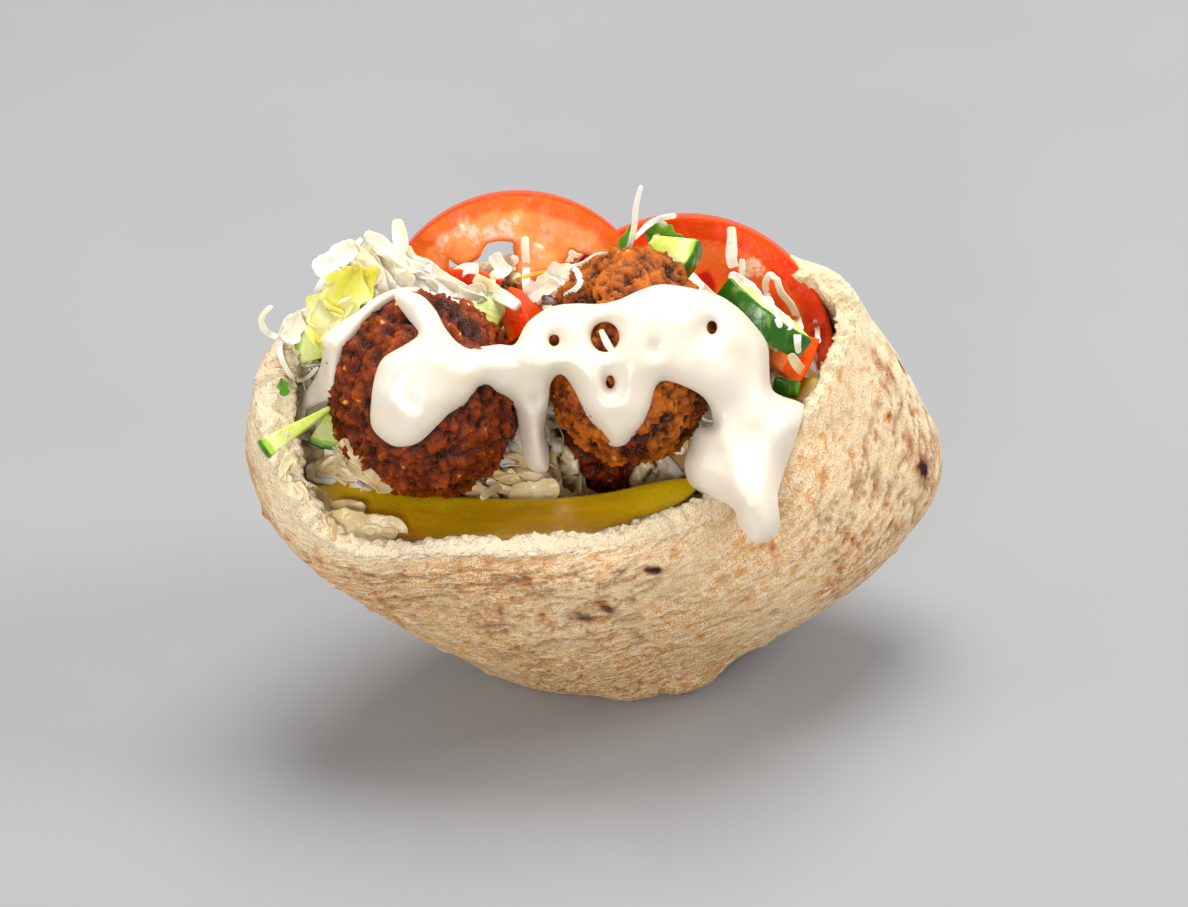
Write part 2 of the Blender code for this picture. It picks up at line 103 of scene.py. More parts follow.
def fractal(points: Array, size: float, octaves: int, seed: int, gain: float = 0.5) -> Array:
    """Noise with finer lumps on the coarse ones, each octave half as large and gain as high."""
    total, height, reach = np.zeros(points.shape[:-1]), 1.0, 0.0
    for octave in range(octaves):
        total += height * soft_noise(points, size / 2**octave, seed + octave)
        reach += height
        height *= gain
    return total / reach


def cell_noise(points: Array, size: float, seed: int) -> tuple[Array, Array]:
    """Distance to the nearest of scattered seeds, as a share of size, and that seed's own number.

    Args:
        points: places, x, y, z in the last axis.
        size: the mean distance between seeds.
        seed: picks another scatter.

    Returns:
        The distances, and for each the random number of its nearest seed.
    """
    places = points / size
    home = np.floor(places)
    nearest = np.full(points.shape[:-1], 9.0)
    number = np.zeros(points.shape[:-1])
    for step in itertools.product((-1, 0, 1), repeat=3):
        cell = home + np.array(step)
        centre = cell + np.stack([random_of(cell, seed + i) for i in range(3)], axis=-1)
        distance = np.linalg.norm(centre - places, axis=-1)
        closer = distance < nearest
        nearest = np.where(closer, distance, nearest)
        number = np.where(closer, random_of(cell, seed + 7), number)
    return nearest, number


def unit(vectors: Array) -> Array:
    """Vectors made one long."""
    return vectors / np.maximum(np.linalg.norm(vectors, axis=-1, keepdims=True), 1e-12)


def raised_to(values: Array, power: float) -> Array:
    """Values from -1 to 1 raised to a power, their signs kept: below 1 a circle grows squarer."""
    return np.copysign(np.abs(values) ** power, values)


def smooth_step(low: float, high: float, values: Array) -> Array:
    """Eases from 0 at low to 1 at high."""
    share = np.clip((np.asarray(values, float) - low) / (high - low), 0, 1)
    return share * share * (3 - 2 * share)


def smooth_through(rows: Sequence[Sequence[float]], shares: Array) -> Array:
    """Catmull-Rom values through evenly spaced rows.

    Args:
        rows: the numbers to pass through.
        shares: how far along, 0 to 1, for each value wanted.

    Returns:
        One row of numbers for each share.
    """
    given = np.asarray(rows, float)
    last = len(given) - 1
    padded = np.vstack([2 * given[0] - given[1], given, 2 * given[-1] - given[-2]])
    places = np.clip(np.asarray(shares, float), 0, 1) * last
    start = np.minimum(places.astype(int), last - 1)
    f = (places - start)[..., None]
    a, b, c, d = (padded[start + i] for i in range(4))
    bend = (2 * a - 5 * b + 4 * c - d) * f**2 + (3 * b - a - 3 * c + d) * f**3
    return 0.5 * (2 * b + (c - a) * f + bend)


def soft_least(a: Array, b: Array, blend: float) -> Array:
    """The lower of two fields, run together smoothly over a distance."""
    share = np.clip(0.5 + 0.5 * (b - a) / blend, 0, 1)
    return b * (1 - share) + a * share - blend * share * (1 - share)


# ---------------------------------------------------------------- meshes
def placed(name: str, data: bpy.types.ID) -> Thing:
    """A new object in the scene that holds the data."""
    obj = bpy.data.objects.new(name, data)
    bpy.context.scene.collection.objects.link(obj)
    return obj


def mesh_object(name: str, points: Array, faces: Sequence[Sequence[int]]) -> Thing:
    """A smooth-shaded mesh object at the origin, from points in metres."""
    mesh = bpy.data.meshes.new(name)
    mesh.from_pydata(np.asarray(points).reshape(-1, 3).tolist(), [], [tuple(f) for f in faces])
    mesh.shade_smooth()
    mesh.update()
    return placed(name, mesh)


def paint(obj: Thing, name: str, values: Array) -> None:
    """Writes one number for each vertex into a named attribute."""
    attribute = obj.data.attributes.new(name, "FLOAT", "POINT")
    attribute.data.foreach_set("value", np.asarray(values, np.float32).ravel())


def positions(obj: Thing) -> Array:
    """The object's vertices as an array."""
    flat = np.empty(len(obj.data.vertices) * 3, np.float32)
    obj.data.vertices.foreach_get("co", flat)
    return flat.reshape(-1, 3).astype(float)


def normals(obj: Thing) -> Array:
    """The object's vertex normals as an array."""
    flat = np.empty(len(obj.data.vertices) * 3, np.float32)
    obj.data.vertex_normals.foreach_get("vector", flat)
    return flat.reshape(-1, 3).astype(float)


def move_points(obj: Thing, points: Array) -> None:
    """Puts the object's vertices at new places."""
    obj.data.vertices.foreach_set("co", np.asarray(points, np.float32).ravel())
    obj.data.update()


def closed_form(grid: Array) -> Form:
    """Rows of closed rings as points and quads, with a fan to a pole in each end ring's middle."""
    rows, columns = grid.shape[:2]
    faces = []
    for r in range(rows - 1):
        for c in range(columns):
            d = (c + 1) % columns
            low, high = r * columns, (r + 1) * columns
            faces.append((low + c, low + d, high + d, high + c))
    first_pole, last_pole, last_row = rows * columns, rows * columns + 1, (rows - 1) * columns
    for c in range(columns):
        d = (c + 1) % columns
        faces.append((first_pole, d, c))
        faces.append((last_pole, last_row + c, last_row + d))
    poles = np.stack([grid[0].mean(0), grid[-1].mean(0)])
    return np.vstack([grid.reshape(-1, 3), poles]), faces


def grid_normals(grid: Array) -> Array:
    """Outward normals of rows of closed rings that run anticlockwise, bottom to top."""
    along = np.roll(grid, -1, axis=1) - np.roll(grid, 1, axis=1)
    up = np.gradient(grid, axis=0)
    return unit(np.cross(along, up))


def skin_of(values: Array, corner: Array, step: float) -> tuple[Array, Array]:
    """The closed surface where a sampled field crosses zero, as quads that face outwards.

    Args:
        values: the field on a regular 3-D grid, below zero inside.
        corner: the grid's lowest corner.
        step: the grid's spacing.

    Returns:
        The points, and for each quad the four points it joins.
    """
    values = np.pad(values, 1, constant_values=abs(step))
    inside = values < 0
    cells = tuple(n - 1 for n in values.shape)
    total, count = np.zeros(cells + (3,)), np.zeros(cells)
    for axis in range(3):
        others = [i for i in range(3) if i != axis]
        ahead = np.take(values, range(1, values.shape[axis]), axis)
        here = np.take(values, range(values.shape[axis] - 1), axis)
        crosses = (here < 0) != (ahead < 0)
        share = np.where(crosses, here / np.where(crosses, here - ahead, 1), 0)
        for offset in itertools.product((0, 1), repeat=2):
            window = [slice(None)] * 3
            for other, shift in zip(others, offset):
                window[other] = slice(shift, shift + cells[other])
            found = crosses[tuple(window)]
            count += found
            total[..., axis] += np.where(found, share[tuple(window)], 0)
            for other, shift in zip(others, offset):
                total[..., other] += found * shift
    used = count > 0
    numbers = np.full(cells, -1)
    numbers[used] = np.arange(used.sum())
    index = np.argwhere(used)
    points = (index + total[used] / count[used][:, None] - 1) * step + corner
    quads = []
    for axis in range(3):
        b, c = (axis + 1) % 3, (axis + 2) % 3
        ahead = np.take(inside, range(1, inside.shape[axis]), axis)
        here = np.take(inside, range(inside.shape[axis] - 1), axis)
        for start, flip in ((here & ~ahead, False), (~here & ahead, True)):
            at = np.argwhere(start)
            at = at[(at[:, b] > 0) & (at[:, c] > 0)]
            step_b, step_c = np.eye(3, dtype=int)[b], np.eye(3, dtype=int)[c]
            ring = [at, at - step_b, at - step_b - step_c, at - step_c]
            ring = ring[::-1] if flip else ring
            quads.append(np.stack([numbers[tuple(cell.T)] for cell in ring], axis=1))
    return points, np.concatenate(quads)


def bent_into_place(middle: Point, facing: Point, side: Point) -> Matrix:
    """A matrix whose local Z looks along facing and whose local X leans to side."""
    z_axis = Vector(facing).normalized()
    y_axis = z_axis.cross(Vector(side)).normalized()
    x_axis = y_axis.cross(z_axis)
    turn = Matrix((x_axis, y_axis, z_axis)).transposed().to_4x4()
    return Matrix.Translation(Vector(middle) * MM) @ turn


def moved(points: Array, matrix: Matrix) -> Array:
    """Points taken through a matrix."""
    rows = np.array(matrix)
    return points @ rows[:3, :3].T + rows[:3, 3]


# ---------------------------------------------------------------- materials
def linear(colour: str) -> tuple[float, float, float, float]:
    """An sRGB hex colour as linear red, green, blue and an alpha of 1."""
    parts = [int(colour[i : i + 2], 16) / 255 for i in (1, 3, 5)]
    light = [p / 12.92 if p <= 0.04045 else ((p + 0.055) / 1.055) ** 2.4 for p in parts]
    return (*light, 1.0)


@dataclass(frozen=True)
class Kind:
    """A kind of node as these trees use it: its type, the inputs that values go to in order, the
    output that is wanted and its settings."""

    type: str
    inputs: tuple[int | str, ...] = ()
    output: int | str = 0
    settings: tuple[tuple[str, object], ...] = ()


PLACE = Kind("ShaderNodeTexCoord", output="Object")
CARRIED = Kind("ShaderNodeAttribute", output="Fac")  # what a piece's vertices carry under a name
MIX = Kind("ShaderNodeMix", (0, 6, 7), 2, (("data_type", "RGBA"),))  # share, first and second colour
TIMES = Kind("ShaderNodeMath", (0, 1), settings=(("operation", "MULTIPLY"),))
RANGE = Kind("ShaderNodeMapRange", ("Value", "From Min", "From Max", "To Max"))  # low to high, as 0 to top
TURN = Kind("ShaderNodeMapping", ("Vector", "Rotation"))
STRETCH = Kind("ShaderNodeMapping", ("Vector", "Scale"))
NOISE = Kind("ShaderNodeTexNoise", ("Vector", "Scale", "Detail"))
BUMP = Kind("ShaderNodeBump", ("Height", "Distance", "Normal"))
SPREAD = Kind("ShaderNodeMapRange", ("Value", "From Min", "From Max", "To Min", "To Max"))
DRIFT = Kind("ShaderNodeTexNoise", ("Vector", "W", "Scale", "Detail"), settings=(("noise_dimensions", "4D"),))
RANDOM = Kind("FunctionNodeRandomValue", (2, 3, "Seed"), 1, (("data_type", "FLOAT"),))  # low, high
LENGTHENED = Kind("ShaderNodeVectorMath", (0, "Scale"), settings=(("operation", "SCALE"),))


def add(
    tree: Tree, kind: Kind | str, *values: object, output: Optional[int | str] = None, **settings: object
) -> Optional[Socket]:
    """Adds a node with its settings, and sets or links its inputs.

    Args:
        tree: the node tree.
        kind: the kind, or a node type's name.
        values: for the kind's inputs in their order, or one dict by the inputs' names or
            numbers. A value is a plain one, a hex colour, or an output to link from.
        output: the wanted output, if it isn't the kind's.
        settings: the node's own properties.

    Returns:
        The wanted output, or None for a node that has none.
    """
    kind = Kind(kind) if isinstance(kind, str) else kind
    node = tree.nodes.new(kind.type)
    for name, value in (*kind.settings, *settings.items()):
        setattr(node, name, value)
    given = values[0] if values and isinstance(values[0], dict) else dict(zip(kind.inputs, values))
    for name, value in given.items():
        if isinstance(value, Socket):
            tree.links.new(value, node.inputs[name])
        else:
            is_colour = isinstance(value, str) and value.startswith("#")
            node.inputs[name].default_value = linear(value) if is_colour else value
    return node.outputs[kind.output if output is None else output] if node.outputs else None


def grains(size_mm: float) -> float:
    """The scale at which a noise's grains are about size_mm across."""
    return 1 / (size_mm * MM)


def let_in(share: float, colours: Point, reach_mm: float) -> Inputs:
    """Shader inputs for light that goes into a thing: its share, and its reach for each colour."""
    return {"Subsurface Weight": share, "Subsurface Radius": colours, "Subsurface Scale": reach_mm * MM}


class Finish:
    """What a thing is made of. Each finish says what its shader's inputs are."""

    name: str

    def surface(self, tree: Tree, place: Socket) -> Inputs:
        """The Principled shader's inputs, from a tree that the finish adds its nodes to.

        Args:
            tree: the material's node tree.
            place: where on the thing a point is, in metres.

        Returns:
            Values or outputs, by the inputs' names.
        """
        raise NotImplementedError

    def build(self) -> Material:
        """Returns the material."""
        material = bpy.data.materials.new(self.name)
        material.use_nodes = True
        tree = material.node_tree
        tree.nodes.clear()
        shader = add(tree, "ShaderNodeBsdfPrincipled", self.surface(tree, add(tree, PLACE)))
        add(tree, "ShaderNodeOutputMaterial", {"Surface": shader})
        return material


def dress(obj: Thing, material: Material, slot: str, *nodes: str) -> Thing:
    """Gives a finished piece its material and its body, and hides the CAD nodes it stands for."""
    obj.data.materials.clear()
    obj.data.materials.append(material)
    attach(obj, BODY)
    if nodes:
        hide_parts(*nodes)
    log.info("%s: %d faces", obj.name, len(obj.data.polygons))
    return obj


# ---------------------------------------------------------------- finishes
@dataclass(frozen=True)
class BakedPitaCrust(Finish):
    """Flat bread of white flour, baked on a hot floor and torn open.

    The skin is dull, dusted with flour and toasted in freckles with a few scorched spots; the
    torn rim and the inside are open crumb, pale and soft, so light goes a little way in.
    """

    name: str = "baked_pita_crust"
    flour: str = "#FFEAC4"
    skin: str = "#E09C4C"
    ashen: str = "#D2B27E"
    golden: str = "#DB9440"
    toasted: str = "#A85414"
    scorched: str = "#341206"
    crumb: str = "#FDE8C4"
    crumb_pit: str = "#F4CE92"
    hollow: str = "#DE9A44"
    torn: str = "#FFEAC8"
    # painted shade, multiplied darker over the creases
    shade: str = "#A07040"  # over the creases
    grain_mm: float = 0.4  # flour grain
    wrinkle_mm: float = 1.5  # between fine wrinkles
    slant: float = 24.0  # degrees that the wrinkles climb to the right

    def surface(self, tree: Tree, place: Socket) -> Inputs:
        """Reads the bread's UV map and attributes."""
        along = add(tree, "ShaderNodeUVMap", uv_map="surface")
        slanted = add(tree, TURN, along, (0, 0, -math.radians(self.slant)))
        grain = add(tree, NOISE, place, grains(self.grain_mm), 2.0)
        wrinkle = add(tree, NOISE, add(tree, STRETCH, slanted, (1 / 2.6, 1, 1)), grains(self.wrinkle_mm), 3.0)
        combed = add(tree, TIMES, add(tree, CARRIED, attribute_name="combed"), wrinkle)
        mottle = add(tree, NOISE, place, grains(2.6), 4.0)
        cloud = add(tree, NOISE, place, grains(9.0), 3.0)
        raised = add(tree, RANGE, add(tree, MIX, 0.62, wrinkle, grain), 0.42, 0.58)
        colour = add(tree, MIX, raised, self.skin, self.flour)
        colour = add(tree, MIX, add(tree, RANGE, cloud, 0.46, 0.68, 0.4), colour, self.ashen)
        colour = add(tree, MIX, add(tree, CARRIED, attribute_name="flour"), colour, self.flour)
        warm = add(tree, TIMES, add(tree, RANGE, mottle, 0.52, 0.7), add(tree, RANGE, cloud, 0.62, 0.4))
        colour = add(tree, MIX, warm, colour, self.golden)
        broken = add(tree, RANGE, add(tree, MIX, 0.5, mottle, grain), 0.36, 0.58)
        toast = add(tree, TIMES, add(tree, CARRIED, attribute_name="toast"), broken)
        colour = add(tree, MIX, toast, colour, self.toasted)
        colour = add(tree, MIX, add(tree, CARRIED, attribute_name="scorch"), colour, self.scorched)
        # painted shade: the creases are darkened by multiplying
        crease = add(tree, TIMES, add(tree, CARRIED, attribute_name="crease"), 0.6)
        colour = add(tree, MIX, crease, colour, self.shade, blend_type="MULTIPLY")
        sponge = add(tree, NOISE, place, grains(1.1), 3.0)
        crumb = add(tree, MIX, add(tree, RANGE, sponge, 0.42, 0.66, 0.6), self.crumb, self.crumb_pit)
        crumb = add(tree, MIX, add(tree, CARRIED, attribute_name="rim"), crumb, self.torn)
        crumb = add(tree, MIX, add(tree, CARRIED, attribute_name="hollow"), crumb, self.hollow)
        inside = add(tree, CARRIED, attribute_name="crumb")
        colour = add(tree, MIX, inside, colour, crumb)
        fine = add(tree, BUMP, grain, 0.5 * MM)
        fine = add(tree, BUMP, combed, 1.0 * MM, fine)
        spongy = add(tree, TIMES, inside, sponge)
        fine = add(tree, BUMP, spongy, 0.7 * MM, fine)
        return {
            "Base Color": colour,
            "Normal": fine,
            "Roughness": 0.85,
            "Specular IOR Level": 0.25,
            **let_in(0.12, (1.0, 0.6, 0.35), 2.5),
        }


@dataclass(frozen=True)
class FriedFalafelCrust(Finish):
    """Ground chickpea and herb paste, deep fried: a crisp dark crust of crumbs, with painted shade in its
    crevices and paler tips that are partly painted light, with painted glints.
    """

    name: str = "fried_falafel_crust"
    # painted shade for the deepest hollows of the crust
    crevice: str = "#240A02"
    crust: str = "#5E1C03"
    ridge: str = "#AC480C"
    fleck: str = "#E9A44A"
    golden: str = "#B65A0A"
    golden_ridge: str = "#DE7A14"
    burnt: str = "#4A1606"

    def surface(self, tree: Tree, place: Socket) -> Inputs:
        """Reads the ball's relief, its crumbs' numbers and its tint."""
        height = add(tree, CARRIED, attribute_name="height")
        number = add(tree, CARRIED, attribute_name="crumb_number")
        pale = add(tree, CARRIED, attribute_name="pale")
        cloud = add(tree, NOISE, place, grains(5.0), 3.0)
        fine = add(tree, NOISE, place, grains(0.5), 2.0)
        body = add(tree, MIX, pale, self.crust, self.golden)
        tip = add(tree, MIX, pale, self.ridge, self.golden_ridge)
        body = add(tree, MIX, add(tree, RANGE, number, 0.0, 1.0, 0.6), body, tip)
        # painted shade: the lowest points of the relief darken to the deep tone; the highest take the tip tone,
        # their own colour and painted light both
        colour = add(tree, MIX, add(tree, RANGE, height, 0.24, 0.54), self.crevice, body)
        colour = add(tree, MIX, add(tree, RANGE, height, 0.56, 0.9), colour, tip)
        colour = add(tree, MIX, add(tree, RANGE, cloud, 0.5, 0.68, 0.65), colour, self.burnt)
        colour = add(tree, MIX, add(tree, RANGE, fine, 0.5, 0.8, 0.4), colour, tip)
        # flecks on raised crumbs: specks in the crust, and painted glints
        shiny = add(tree, TIMES, add(tree, RANGE, number, 0.93, 0.95), add(tree, RANGE, height, 0.5, 0.7))
        colour = add(tree, MIX, shiny, colour, self.fleck)
        return {
            "Base Color": colour,
            "Roughness": add(tree, RANGE, fine, 0.3, 0.7, 0.45),
            "Normal": add(tree, BUMP, fine, 0.4 * MM),
            "Specular IOR Level": 0.2,
        }


@dataclass(frozen=True)
class TahiniSauce(Finish):
    """Sesame paste whisked with lemon and water: thick, off-white, with a smooth wet gloss."""

    name: str = "whisked_tahini_sauce"
    cream: str = "#EDE2D0"
    deep_cream: str = "#E9DCC5"
    speck: str = "#C9B38C"  # of sesame hull

    def surface(self, tree: Tree, place: Socket) -> Inputs:
        """Clouds and specks; light goes a few millimetres into the paste."""
        cloud = add(tree, NOISE, place, grains(9.0), 1.0)
        colour = add(tree, MIX, add(tree, RANGE, cloud, 0.4, 0.7), self.cream, self.deep_cream)
        specks = add(tree, RANGE, add(tree, NOISE, place, grains(0.7), 0.0), 0.84, 0.86, 0.3)
        return {
            "Base Color": add(tree, MIX, specks, colour, self.speck),
            "Roughness": 0.28,
            "Specular IOR Level": 0.45,
            **let_in(0.35, (1.0, 0.75, 0.45), 2.0),
        }


# ---------------------------------------------------------------- the bread
@dataclass(frozen=True)
class Station:
    """How far the pocket reaches each way at one row, and how high those four points are, in mm."""

    left: float
    right: float
    front: float
    back: float
    z_left: float
    z_right: float
    z_front: float
    z_back: float

    def row(self) -> list[float]:
        """The eight numbers in order."""
        across = [self.left, self.right, self.front, self.back]
        return across + [self.z_left, self.z_right, self.z_front, self.z_back]


@dataclass(frozen=True)
class PocketShape:
    """The form of the opened bread, the same as the model's: a loft from the foot to the rim."""

    stations: tuple[Station, ...] = (
        Station(-16, 24, -10, 12, -0.9, -0.9, -0.9, -0.9),
        Station(-24, 34, -15, 20, -0.9, -0.9, -0.9, -0.9),
        Station(-41, 50, -24, 30, 14, 8, 9, 10),
        Station(-60, 72, -34, 38, 34, 23, 26, 32),
        Station(-75, 85, -41, 42, 55, 43, 42, 55),
        Station(-81, 77.5, -43, 40, 73, 68, 55, 78),
        Station(-78, 63, -39, 35, 90, 93, 63, 94),
    )
    wall: float = 5.5 * MM
    turned: float = math.radians(12)
    corner_power: float = 1.4
    left_blunting: float = 0.65
    dip_turn: float = math.radians(213)
    dip_width: float = math.radians(25)
    dip_depth: float = 15.5 * MM

    def points(self, turn: Array, rise: Array, depth: Array | float = 0.0) -> Array:
        """Places on the pocket.

        Args:
            turn: the way round from +X, in radians.
            rise: 0 at the foot to 1 at the rim.
            depth: how far inside the outer surface, in metres.

        Returns:
            The places, in metres, for turn, rise and depth spread over each other.
        """
        turn, rise, depth = np.broadcast_arrays(np.asarray(turn, float) % TAU, rise, depth)
        rows = smooth_through([s.row() for s in self.stations], rise) * MM
        left, right = rows[..., 0] + depth, rows[..., 1] - depth
        front, back = rows[..., 2] + depth, rows[..., 3] - depth
        z_left, z_right, z_front, z_back = (rows[..., i] for i in range(4, 8))
        across, along = np.cos(turn), np.sin(turn)
        leftness = np.where(along < 0, (1 - across) / 2, 0)
        power = self.corner_power - self.left_blunting * leftness * rise**2
        rounded = raised_to(along, power)
        x = (right + left) / 2 + (right - left) / 2 * across
        y = (back + front) / 2 * np.abs(rounded) + (back - front) / 2 * rounded
        z = (z_left + z_right + z_front + z_back) / 4
        z = z + (z_right - z_left) / 2 * across + (z_back - z_front) / 2 * along
        z = z + (z_left + z_right - z_front - z_back) / 4 * np.cos(2 * turn)
        z = z - self.dip_depth * np.exp(-(((turn - self.dip_turn) / self.dip_width) ** 2)) * rise**3
        z = np.maximum(z, 0) + depth * (1 - rise**0.7)
        c, s = math.cos(self.turned), math.sin(self.turned)
        return np.stack([c * x - s * y, s * x + c * y, z], axis=-1)


@dataclass(frozen=True)
class Patch:
    """A spot of the bread: its turn in degrees and its rise, its reach along and up in mm, its strength."""

    turn: float
    rise: float
    wide: float
    high: float
    strength: float = 1.0


@dataclass
class PitaBread:
    """The opened pocket: crust up from the foot, a torn rim, and open crumb down its inside."""

    shape: PocketShape
    finish: BakedPitaCrust = field(default_factory=BakedPitaCrust)
    columns: int = 520
    outer_rows: int = 112
    rim_rows: int = 10
    inner_rows: int = 44
    lowest_inside: float = 2 / 12  # the hollow's floor, as a rise
    mean_radius: float = 75.0  # of the pocket, in mm
    wall_length: float = 125.0  # from foot to rim, in mm
    # where the wall is thicker: middle and spread in degrees, the rises it grows between, by how much
    thickenings: tuple[tuple[float, ...], ...] = (
        (30, 36, 0.62, 0.86, 1.5 * MM), (173, 20, 0.72, 0.9, 4.2 * MM)
    )
    seam_turn: float = math.radians(95)
    crown: float = 1.4 * MM
    tear: float = 1.8 * MM
    wrinkle_depth: float = 0.65 * MM
    wrinkle_length: float = 9 * MM
    wrinkle_pitch: float = 2.1 * MM
    scorches: tuple[Patch, ...] = ()
    toasts: tuple[Patch, ...] = ()
    hollows: tuple[Patch, ...] = ()
    swellings: tuple[Patch, ...] = ()

    def build(self) -> Thing:
        """Returns the finished bread, which stands for the model's pita_bread."""
        turn = self._turns()
        rise, inside = self._courses()
        depth = self._depths(turn, rise, inside)
        grid = self.shape.points(turn, rise[:, None], depth)
        outward = grid_normals(grid)
        u, v = self._surface_coordinates(turn, grid)
        values = self._relief(grid, u, v, rise, inside)
        grid = grid + outward * values["height"][..., None]
        grid[..., 2] += self._torn_lift(turn, rise, inside)
        grid[..., 2] = np.maximum(grid[..., 2], 0)
        obj = mesh_object("pita_bread_baked", *closed_form(grid))
        for name in ("crumb", "toast", "scorch", "crease", "flour", "hollow", "combed", "rim"):
            at_poles = (values[name][0].mean(), values[name][-1].mean())
            paint(obj, name, np.append(values[name].ravel(), at_poles))
        self._map_surface(obj, u, v)
        return dress(obj, self.finish.build(), "bread", "pita_bread")

    def _turns(self) -> Array:
        """Each column's turn, from the back round to the back."""
        return np.linspace(0, TAU, self.columns, endpoint=False)[None, :] + self.seam_turn

    def _courses(self) -> tuple[Array, Array]:
        """Each row's rise, and 0 to 1 for crust to crumb."""
        outer = np.linspace(0, 1, self.outer_rows, endpoint=False)
        across = np.linspace(0, 1, self.rim_rows)
        inner = np.linspace(1, self.lowest_inside, self.inner_rows + 1)[1:]
        rise = np.concatenate([outer, np.ones(self.rim_rows), inner])
        inside = np.concatenate([outer * 0, across, inner * 0 + 1])
        return rise, inside

    def _depths(self, turn: Array, rise: Array, inside: Array) -> Array:
        """How deep in the wall each point lies; the wall is thicker at the left and at the back right."""
        wall = np.full((len(rise), turn.size), self.shape.wall)
        for middle, spread, low, high, thicker in self.thickenings:
            wall += self._around(turn, middle, spread) * smooth_step(low, high, rise)[:, None] * thicker
        return inside[:, None] * wall

    def _surface_coordinates(self, turn: Array, grid: Array) -> tuple[Array, Array]:
        """Metres along the surface, round the pocket and up it, the same width at every height."""
        middle = self.shape.points(turn[0], 0.7)
        steps = np.linalg.norm(np.diff(middle, axis=0, append=middle[:1]), axis=1)
        u = np.concatenate([[0], np.cumsum(steps)[:-1]])
        climbs = np.linalg.norm(np.diff(grid, axis=0), axis=-1).mean(axis=1)
        v = np.concatenate([[0], np.cumsum(climbs)])
        return np.broadcast_to(u[None, :], grid.shape[:2]), np.broadcast_to(v[:, None], grid.shape[:2])

    def _around(self, turn: Array, middle: float, spread: float) -> Array:
        """1 at a middle turn, falling off over a spread, both in degrees."""
        away = (turn - math.radians(middle) + math.pi) % TAU - math.pi
        return np.exp(-((away / math.radians(spread)) ** 2))

    def _from(self, patch: Patch, turn: Array, rise: Array) -> Array:
        """How far each point is from a patch's middle, 1 at its edge."""
        away = (turn - math.radians(patch.turn) + math.pi) % TAU - math.pi
        climb = (rise - patch.rise) * self.wall_length
        return np.hypot(away * self.mean_radius / patch.wide, climb / patch.high)

    def _patches(self, patches: Sequence[Patch], turn: Array, rise: Array, ragged: Array) -> Array:
        """How strongly the ragged-edged patches cover each point, 0 to 1."""
        cover = np.zeros(ragged.shape)
        for patch in patches:
            near = 1 - self._from(patch, turn, rise) * (1 + 0.6 * ragged)
            cover = np.maximum(cover, smooth_step(0, 0.55, near) * patch.strength)
        return cover

    def _relief(self, grid: Array, u: Array, v: Array, rise: Array, inside: Array) -> dict[str, Array]:
        """The height above the plain form, and what the finish reads, for every point."""
        turn = self._turns()
        rise, inside = np.broadcast_to(rise[:, None], u.shape), np.broadcast_to(inside[:, None], u.shape)
        ragged = fractal(grid, 5 * MM, 3, 151)
        torn = self._around(turn, 196, 30) * smooth_step(0.84, 0.97, rise + 0.05 * ragged)
        front = self._around(turn, 238, 66) * smooth_step(0.966, 0.98, rise + 0.014 * ragged)
        torn = np.maximum(torn, front)
        # the right shoulder: flour, painted paler still as light falls there
        pale = self._around(turn, 14, 50) * smooth_step(0.62, 0.86, rise)
        wide = np.maximum(torn, self._around(turn, 30, 55))
        start = 0.2 * (1 - wide)
        crumb = np.maximum(smooth_step(start, start + 0.16, inside + 0.08 * ragged), torn)
        crust = 1 - np.maximum(smooth_step(start * 0.8, start + 0.2, inside), torn)
        sway = fractal(grid, 30 * MM, 2, 11) * 7 * MM
        slant = math.radians(self.finish.slant)
        ahead, across = u * math.cos(slant) + v * math.sin(slant), v * math.cos(slant) - u * math.sin(slant)
        lines = np.stack([ahead / self.wrinkle_length, (across + sway) / self.wrinkle_pitch, u * 0], axis=-1)
        ridges = np.abs(fractal(lines, 1.0, 2, 21))
        where = smooth_step(-0.35, 0.35, fractal(grid, 34 * MM, 2, 31)) * (1 - smooth_step(0.86, 0.99, rise))
        combed = smooth_step(1 * MM, 5 * MM, np.minimum(u, u.max() - u))
        crease = (1 - smooth_step(0.0, 0.24, ridges)) * where * crust * combed
        swell = fractal(grid, 26 * MM, 2, 41)
        lump = fractal(grid, 7 * MM, 3, 51)
        distance, number = cell_noise(grid, 6 * MM, 61)
        blister = np.where(number > 0.8, 1 - smooth_step(0, 0.42, distance), 0) * crust
        freckle = fractal(grid, 3.0 * MM, 3, 71)
        patchy = fractal(grid, 20 * MM, 2, 81)
        toast = smooth_step(0.2, 0.75, freckle + 0.35 * patchy) * 0.8 * crust
        toast = np.maximum(toast, blister * 0.5 * smooth_step(0.0, 0.4, patchy))
        edge = smooth_step(0.975, 0.998, rise) * (1 - smooth_step(0.05, 0.3, inside)) * 0.4
        toast = np.maximum(toast * (1 - 0.6 * pale), edge * (1 - pale) * (1 - torn))
        toast = np.maximum(toast, self._patches(self.toasts, turn, rise, lump) * crust)
        scorch = self._patches(self.scorches, turn, rise, fractal(grid, 1.6 * MM, 2, 91)) * crust
        hollow = self._patches(self.hollows, turn, rise, lump) * crumb
        bubbles, _ = cell_noise(grid, 1.9 * MM, 101)
        crumbs, _ = cell_noise(grid, 1.2 * MM, 111)
        rolling = fractal(grid, 4 * MM, 2, 121)
        spongy = (0.5 - bubbles) * 0.9 * MM + (0.45 - crumbs) * 0.5 * MM + rolling * 0.7 * MM
        at_rim = smooth_step(0.95, 1.0, rise) * crumb
        lobes, _ = cell_noise(grid, 2.0 * MM, 161)
        spongy = spongy + at_rim * ((0.5 - lobes) * 2.2 * MM + fractal(grid, 1.6 * MM, 3, 171) * 0.9 * MM)
        height = crust * (swell * 0.9 * MM + lump * 0.4 * MM + blister * 0.8 * MM)
        height = height - crease * self.wrinkle_depth + crumb * spongy - hollow * 1.6 * MM
        swell_out = np.zeros(u.shape)
